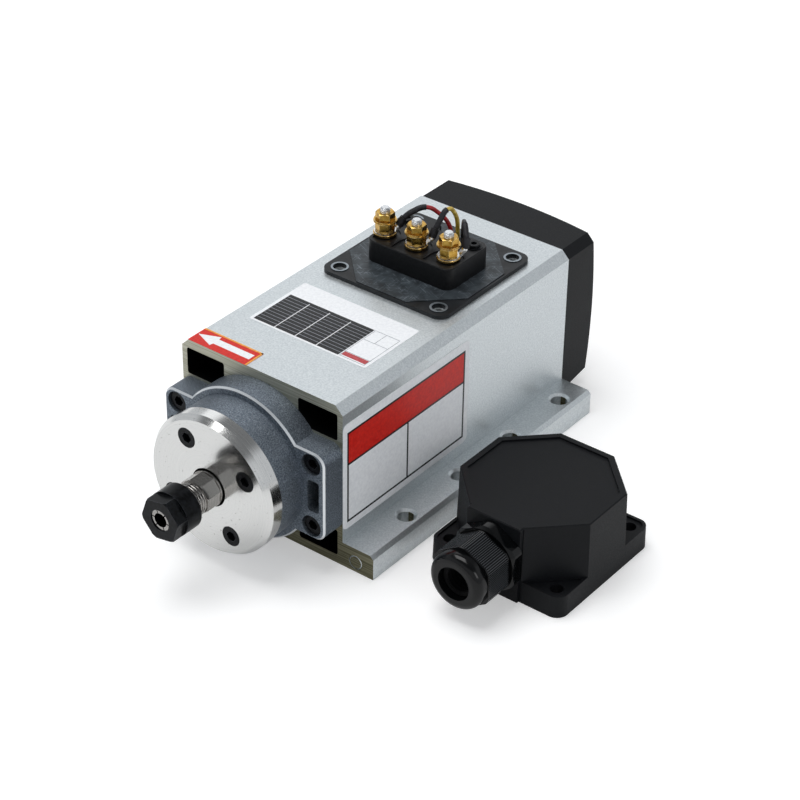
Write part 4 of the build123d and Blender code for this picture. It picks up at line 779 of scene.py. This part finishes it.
def thread_tree():
    """Geometry Nodes tree for a ridge that winds along Z."""
    tree = bpy.data.node_groups.new("thread", "GeometryNodeTree")
    face = tree.interface
    for name, kind in (
        ("Radius", "NodeSocketFloat"), ("Pitch", "NodeSocketFloat"), ("Turns", "NodeSocketFloat"),
        ("Ridge", "NodeSocketFloat"), ("Finish", "NodeSocketMaterial"),
    ):
        face.new_socket(name, in_out="INPUT", socket_type=kind)
    face.new_socket("Geometry", in_out="OUTPUT", socket_type="NodeSocketGeometry")
    given = add(tree, "NodeGroupInput").outputs
    height = add(tree, "ShaderNodeMath", {0: given["Pitch"], 1: given["Turns"]}, operation="MULTIPLY")
    spiral = add(tree, "GeometryNodeCurveSpiral", {
        "Resolution": SPIRAL_STEPS, "Rotations": given["Turns"], "Start Radius": given["Radius"],
        "End Radius": given["Radius"], "Height": height.outputs[0],
    })
    upright = add(tree, "GeometryNodeSetCurveNormal", {"Curve": spiral.outputs[0]})
    upright.mode = "Z_UP"
    section = add(tree, "GeometryNodeCurvePrimitiveCircle", {
        "Resolution": RIDGE_CORNERS, "Radius": given["Ridge"],
    })
    ridge = add(tree, "GeometryNodeCurveToMesh", {
        "Curve": upright.outputs[0], "Profile Curve": section.outputs[0], "Fill Caps": True,
    })
    whole = add(tree, "GeometryNodeRealizeInstances", {0: ridge.outputs[0]})
    coated = add(tree, "GeometryNodeSetMaterial", {
        "Geometry": whole.outputs[0], "Material": given["Finish"],
    })
    add(tree, "NodeGroupOutput", {"Geometry": coated.outputs[0]})
    return tree


THREAD = thread_tree()
print("thread tree has", len(THREAD.nodes), "nodes")

# %% [markdown]
# ## From a tree to a piece
# A tree makes nothing until an object carries it. The first helper puts it on an object for a
# moment, gives it its inputs by their identifiers, and keeps the result as a plain mesh. The
# second copies that mesh to each of its places and makes one piece, which rides on a body, so
# that it moves with what it belongs to.

# %% Grow a mesh and place it
def grown(tree, **values):
    """The plain mesh that a Geometry Nodes tree makes with these inputs."""
    holder = bpy.data.objects.new("holder", bpy.data.meshes.new("holder"))
    scene.collection.objects.link(holder)
    modifier = holder.modifiers.new("nodes", "NODES")
    modifier.node_group = tree
    for item in tree.interface.items_tree:
        if item.in_out == "INPUT" and item.name in values:
            modifier[item.identifier] = values[item.name]
    seen = holder.evaluated_get(bpy.context.evaluated_depsgraph_get())
    mesh = bpy.data.meshes.new_from_object(seen)
    bpy.data.objects.remove(holder)
    return mesh


def placed(name, mesh, matrices, body):
    """One piece from copies of a mesh, each with its place, on a body."""
    whole = bmesh.new()
    for matrix in matrices:
        start = len(whole.verts)
        whole.from_mesh(mesh)
        whole.verts.ensure_lookup_table()
        bmesh.ops.transform(whole, matrix=matrix, verts=whole.verts[start:])
    bmesh.ops.recalc_face_normals(whole, faces=whole.faces)
    made = bpy.data.meshes.new(name)
    whole.to_mesh(made)
    whole.free()
    for material in mesh.materials:
        made.materials.append(material)
    piece = bpy.data.objects.new(name, made)
    scene.collection.objects.link(piece)
    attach(piece, body)
    print(name, len(made.polygons), "faces on", body)


along_y = Matrix.Rotation(math.radians(-90), 4, "X")
print("ready to place pieces along Z or along Y")

# %% [markdown]
# ## Thread of the shaft's nose
# The nose is cut with a fine thread, on which the nut draws the collet into its taper. Most of
# it is under the nut, and four or five ridges show behind. It winds along the shaft, so the
# upright ridge is laid down first.

# %% Nose thread
NOSE_RADIUS = 6.62 * MM
NOSE_PITCH = 1.25 * MM
NOSE_TURNS = 11.2
NOSE_RIDGE = 0.355 * MM
NOSE_START = -136.0 * MM

nose_ridge = grown(
    THREAD, Radius=NOSE_RADIUS, Pitch=NOSE_PITCH, Turns=NOSE_TURNS, Ridge=NOSE_RIDGE,
    Finish=FINISHES["ground_steel"],
)
nose_start = Matrix.Translation((0, NOSE_START, SPINDLE_Z))
placed("nose_thread", nose_ridge, [nose_start @ along_y], "rotor")

# %% [markdown]
# ## Thread ends of the studs
# Each stud carries a stack of nuts and washers, and a short end of its thread stands out on top.
# One grown ridge serves all three.

# %% Stud threads
STUD_PLACES = [(-16.25, 14.9), (-0.2, 14.9), (15.85, 14.9)]
STUD_START = 94.35
STUD_RADIUS = 1.98 * MM
STUD_PITCH = 0.7 * MM
STUD_TURNS = 2.4
STUD_RIDGE = 0.16 * MM

stud_ridge = grown(
    THREAD, Radius=STUD_RADIUS, Pitch=STUD_PITCH, Turns=STUD_TURNS, Ridge=STUD_RIDGE,
    Finish=FINISHES["zinc_steel"],
)
tips = [Matrix.Translation(Vector((x, y, STUD_START)) * MM) for x, y in STUD_PLACES]
placed("stud_threads", stud_ridge, tips, "frame")

# %% [markdown]
# ## Ribs in the gland's seal
# The rubber insert of the gland grips a cable with rings inside its bore. The same kind of tree,
# with a full circle in place of the spiral, makes one ring, and its copies stand one behind the
# other. They ride with the seal, which moves when the gland's nut is turned.

# %% Seal ribs
RING_STEPS = 64
RIB_STEPS = 10
RIB_RADIUS = 5.55 * MM
RIB_THICKNESS = 0.35 * MM
SEAL_RIBS = 4
RIB_SPACING = 1.8 * MM
SEAL_MOUTH = -79.6 * MM


def ring_tree():
    """Geometry Nodes tree for a round ring about Z."""
    tree = bpy.data.node_groups.new("ring", "GeometryNodeTree")
    face = tree.interface
    for name, kind in (
        ("Radius", "NodeSocketFloat"), ("Thickness", "NodeSocketFloat"),
        ("Count", "NodeSocketInt"), ("Spacing", "NodeSocketFloat"), ("Finish", "NodeSocketMaterial"),
    ):
        face.new_socket(name, in_out="INPUT", socket_type=kind)
    face.new_socket("Geometry", in_out="OUTPUT", socket_type="NodeSocketGeometry")
    given = add(tree, "NodeGroupInput").outputs
    loop = add(tree, "GeometryNodeCurvePrimitiveCircle", {
        "Resolution": RING_STEPS, "Radius": given["Radius"],
    })
    section = add(tree, "GeometryNodeCurvePrimitiveCircle", {
        "Resolution": RIB_STEPS, "Radius": given["Thickness"],
    })
    ring = add(tree, "GeometryNodeCurveToMesh", {
        "Curve": loop.outputs[0], "Profile Curve": section.outputs[0],
    })
    step = add(tree, "ShaderNodeCombineXYZ", {2: given["Spacing"]})
    line = add(tree, "GeometryNodeMeshLine", {"Count": given["Count"], "Offset": step.outputs[0]})
    copies = add(tree, "GeometryNodeInstanceOnPoints", {
        "Points": line.outputs[0], "Instance": ring.outputs[0],
    })
    whole = add(tree, "GeometryNodeRealizeInstances", {0: copies.outputs[0]})
    coated = add(tree, "GeometryNodeSetMaterial", {
        "Geometry": whole.outputs[0], "Material": given["Finish"],
    })
    add(tree, "NodeGroupOutput", {"Geometry": coated.outputs[0]})
    return tree


ribs = grown(
    ring_tree(), Radius=RIB_RADIUS, Thickness=RIB_THICKNESS, Count=SEAL_RIBS,
    Spacing=RIB_SPACING, Finish=FINISHES["seal_rubber"],
)
seal_mouth = Matrix.Translation((GLAND_X, SEAL_MOUTH, GLAND_Z))
placed("seal_ribs", ribs, [seal_mouth @ along_y], "gland_seal")

# %% [markdown]
# ## Printing inks
# Three labels are stuck to the housing: a data plate with an empty table, a red arrow that shows
# which way the shaft turns, and a white sheet with a red head on the side. They are polyester
# film, screen printed with a slightly glossy ink that is never quite even. Nothing is written on
# them. The inks differ only in colour and gloss, so one loop makes them.

# %% Printing inks
for name, dark, pale, gloss in (
    ("label_white", "#e9ebee", "#f3f5f7", 0.35),
    ("label_black", "#101114", "#1b1c1f", 0.3),
    ("label_red", "#c4150d", "#d82a1e", 0.35),
    ("label_orange", "#e0912e", "#efb04f", 0.35),
    ("label_grey", "#8d9198", "#a5a9af", 0.35),
    ("label_blush", "#a8373a", "#bf5256", 0.35),
):
    tree, shader, coords = new_finish(name, IOR=1.5, Specular_IOR_Level=0.3)
    print_noise = grains(tree, coords, 1.2)
    connect(
        tree, shader,
        Base_Color=tint(tree, print_noise, dark, pale),
        Roughness=level(tree, print_noise, gloss, gloss + 0.12),
    )
print("inks:", [name for name in FINISHES if name.startswith("label")])

# %% [markdown]
# ## Outlines of what is printed
# Everything on a label is flat and has straight sides or rounded corners, so a few outlines are
# enough: a plain box, a box with round corners, and the four bars of a frame. They are lists of
# points in millimetres, anticlockwise, so that the faces made from them look upwards.

# %% Outlines
CORNER_STEPS = 6


def rounded(x_low, x_high, y_low, y_high, radius):
    """Outline of a rectangle with rounded corners."""
    points = []
    corners = (
        (x_high - radius, y_low + radius, -90), (x_high - radius, y_high - radius, 0),
        (x_low + radius, y_high - radius, 90), (x_low + radius, y_low + radius, 180),
    )
    for x, y, start in corners:
        for i in range(CORNER_STEPS + 1):
            angle = math.radians(start + 90 * i / CORNER_STEPS)
            points.append((x + radius * math.cos(angle), y + radius * math.sin(angle)))
    return points


def box_outline(x_low, x_high, y_low, y_high):
    """Outline of a plain rectangle."""
    return [(x_low, y_low), (x_high, y_low), (x_high, y_high), (x_low, y_high)]


def frame_lines(x_low, x_high, y_low, y_high, width):
    """The four sides of a printed frame, as outlines."""
    return [
        box_outline(x_low, x_high, y_low, y_low + width),
        box_outline(x_low, x_high, y_high - width, y_high),
        box_outline(x_low, x_low + width, y_low + width, y_high - width),
        box_outline(x_high - width, x_high, y_low + width, y_high - width),
    ]


print("a rounded box has", len(rounded(0, 10, 0, 10, 1)), "points")

# %% [markdown]
# ## Sheets and layers
# A label is a thin sheet, and what is printed on it is made of separate thin layers on top, so
# it stays crisp from any distance. Real ink is a few hundredths of a millimetre thick. Each
# layer reaches a little higher than the one before, so that no two faces share a plane.

# %% Label sheets
SHEET = 0.12
INK = 0.02


def slab(work, outline, low, high, index):
    """Closed thin layer with an outline in (x, y), between two heights."""
    lower = [work.verts.new((x * MM, y * MM, low * MM)) for x, y in outline]
    upper = [work.verts.new((x * MM, y * MM, high * MM)) for x, y in outline]
    faces = [work.faces.new(upper), work.faces.new(lower[::-1])]
    for i, j in zip(range(len(outline)), list(range(1, len(outline))) + [0]):
        faces.append(work.faces.new((lower[i], lower[j], upper[j], upper[i])))
    for face in faces:
        face.material_index = index


def label(name, sheet, layers, inks, matrix):
    """A sheet with printed layers: each layer is its outlines and the number of its ink."""
    work = bmesh.new()
    slab(work, sheet, 0, SHEET, 0)
    for depth, (outlines, index) in enumerate(layers):
        for outline in outlines:
            slab(work, outline, SHEET - INK, SHEET + INK * (depth + 1), index)
    mesh = bpy.data.meshes.new(name)
    bmesh.ops.transform(work, matrix=matrix, verts=work.verts)
    work.to_mesh(mesh)
    work.free()
    for ink in inks:
        mesh.materials.append(FINISHES[ink])
    piece = bpy.data.objects.new(name, mesh)
    scene.collection.objects.link(piece)
    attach(piece, "frame")
    print(name, len(mesh.polygons), "faces")


print("sheet of", SHEET, "mm with ink of", INK, "mm")

# %% [markdown]
# ## Data plate
# The plate tells what a motor needs. This one is left empty: a black table with thin grey lines
# between its rows and white lines between its columns, and a few blank boxes beside it. Boxes
# are given as low and high x, then low and high y, in millimetres from the label's own corner.

# %% Data plate
HOUSING_TOP = 73.0
PLATE_SHEET = (-28.6, 29.4, -0.3, 34.0)
PLATE_CORNER = 1.0
PLATE_START = -55.2
TABLE = (-27.1, 15.4, 0.7, 23.4)
ROWS = 11
ROW_LINE = 0.2
COLUMN_LINES = (-16.4, -6.0, 4.5)
COLUMN_LINE = 0.34
COLUMN_GAP = 1.2
BOXES = (15.9, 28.0, 0.9, 23.4)
BOX_LINE = 0.16
BOX_ROWS = (4.7, 15.6)
BOX_COLUMN = 21.4
RED_STRIP = (16.2, 27.7, 1.8, 4.3)

left, right_end, bottom, top = TABLE
row_height = (top - bottom) / ROWS
row_lines = [bottom + row_height * i for i in range(1, ROWS)]
thin_lines = [box_outline(left, right_end, y - ROW_LINE / 2, y + ROW_LINE / 2) for y in row_lines]
column_lines = [
    box_outline(x - COLUMN_LINE / 2, x + COLUMN_LINE / 2, bottom, top - COLUMN_GAP)
    for x in COLUMN_LINES
]
left, right_end, bottom, top = BOXES
boxes = frame_lines(*BOXES, BOX_LINE)
boxes += [box_outline(left, right_end, y - BOX_LINE / 2, y + BOX_LINE / 2) for y in BOX_ROWS]
boxes += [box_outline(BOX_COLUMN, BOX_COLUMN + BOX_LINE, BOX_ROWS[1], top)]
red_strip = [box_outline(*RED_STRIP)]
on_top = Matrix.Translation(Vector((0, PLATE_START, HOUSING_TOP)) * MM)
label(
    "data_plate", rounded(*PLATE_SHEET, PLATE_CORNER),
    [([box_outline(*TABLE)], 1), (thin_lines, 2), (column_lines, 0), (boxes, 2), (red_strip, 3)],
    ("label_white", "label_black", "label_grey", "label_blush"), on_top,
)

# %% [markdown]
# ## Arrow label
# The shaft may turn one way only, or the nut would loosen, so a red label carries a plain white
# arrow. Two of its sides have an orange edge.

# %% Arrow label
ARROW = [
    (-14.2, 0.3), (-5.5, -3.2), (-5.1, -1.5), (12.9, -1.5), (12.9, 2.0), (-5.1, 2.0), (-5.5, 3.8),
]
HALF_LENGTH = 14.8
HALF_WIDTH = 5.2
EDGE = 0.8
ARROW_PLACE = (-21.8, -77.0)

red_sheet = box_outline(-HALF_LENGTH, HALF_LENGTH, -HALF_WIDTH, HALF_WIDTH)
strips = [
    box_outline(-HALF_LENGTH, HALF_LENGTH, HALF_WIDTH - EDGE, HALF_WIDTH),
    box_outline(HALF_LENGTH - EDGE, HALF_LENGTH, -HALF_WIDTH, HALF_WIDTH),
]
arrow_place = Matrix.Translation(Vector((*ARROW_PLACE, HOUSING_TOP)) * MM)
label(
    "turning_arrow", red_sheet, [(strips, 1), ([ARROW], 2)],
    ("label_red", "label_orange", "label_white"), arrow_place,
)

# %% [markdown]
# ## Side label
# A large white label with a red head and two blank fields, framed in black, is stuck to the long
# side. Its own x runs along the housing and its own y runs up, which one matrix arranges.

# %% Side label
HOUSING_SIDE = 40.0
HOUSING_FRONT = -82.0
SIDE_SHEET = (0.1, 79.5, 16.3, 64.7)
SIDE_CORNER = 2.5
SIDE_FRAME = (2.6, 76.8, 19.2, 60.6)
LINE = 0.9
HEAD_LINE = 45.5
HEAD_START = 45.9
FIELD_LINE = 39.6

left, right_end, bottom, top = SIDE_FRAME
header = [box_outline(left, right_end, HEAD_START, top)]
lines = frame_lines(*SIDE_FRAME, LINE)
lines += [
    box_outline(left, right_end, HEAD_LINE, HEAD_LINE + LINE),
    box_outline(FIELD_LINE, FIELD_LINE + LINE, bottom, HEAD_LINE),
]
on_side = Matrix((
    (0, 0, 1, HOUSING_SIDE * MM), (1, 0, 0, HOUSING_FRONT * MM), (0, 1, 0, 0), (0, 0, 0, 1),
))
label(
    "side_label", rounded(*SIDE_SHEET, SIDE_CORNER),
    [(header, 1), (lines, 2)], ("label_white", "label_red", "label_black"), on_side,
)
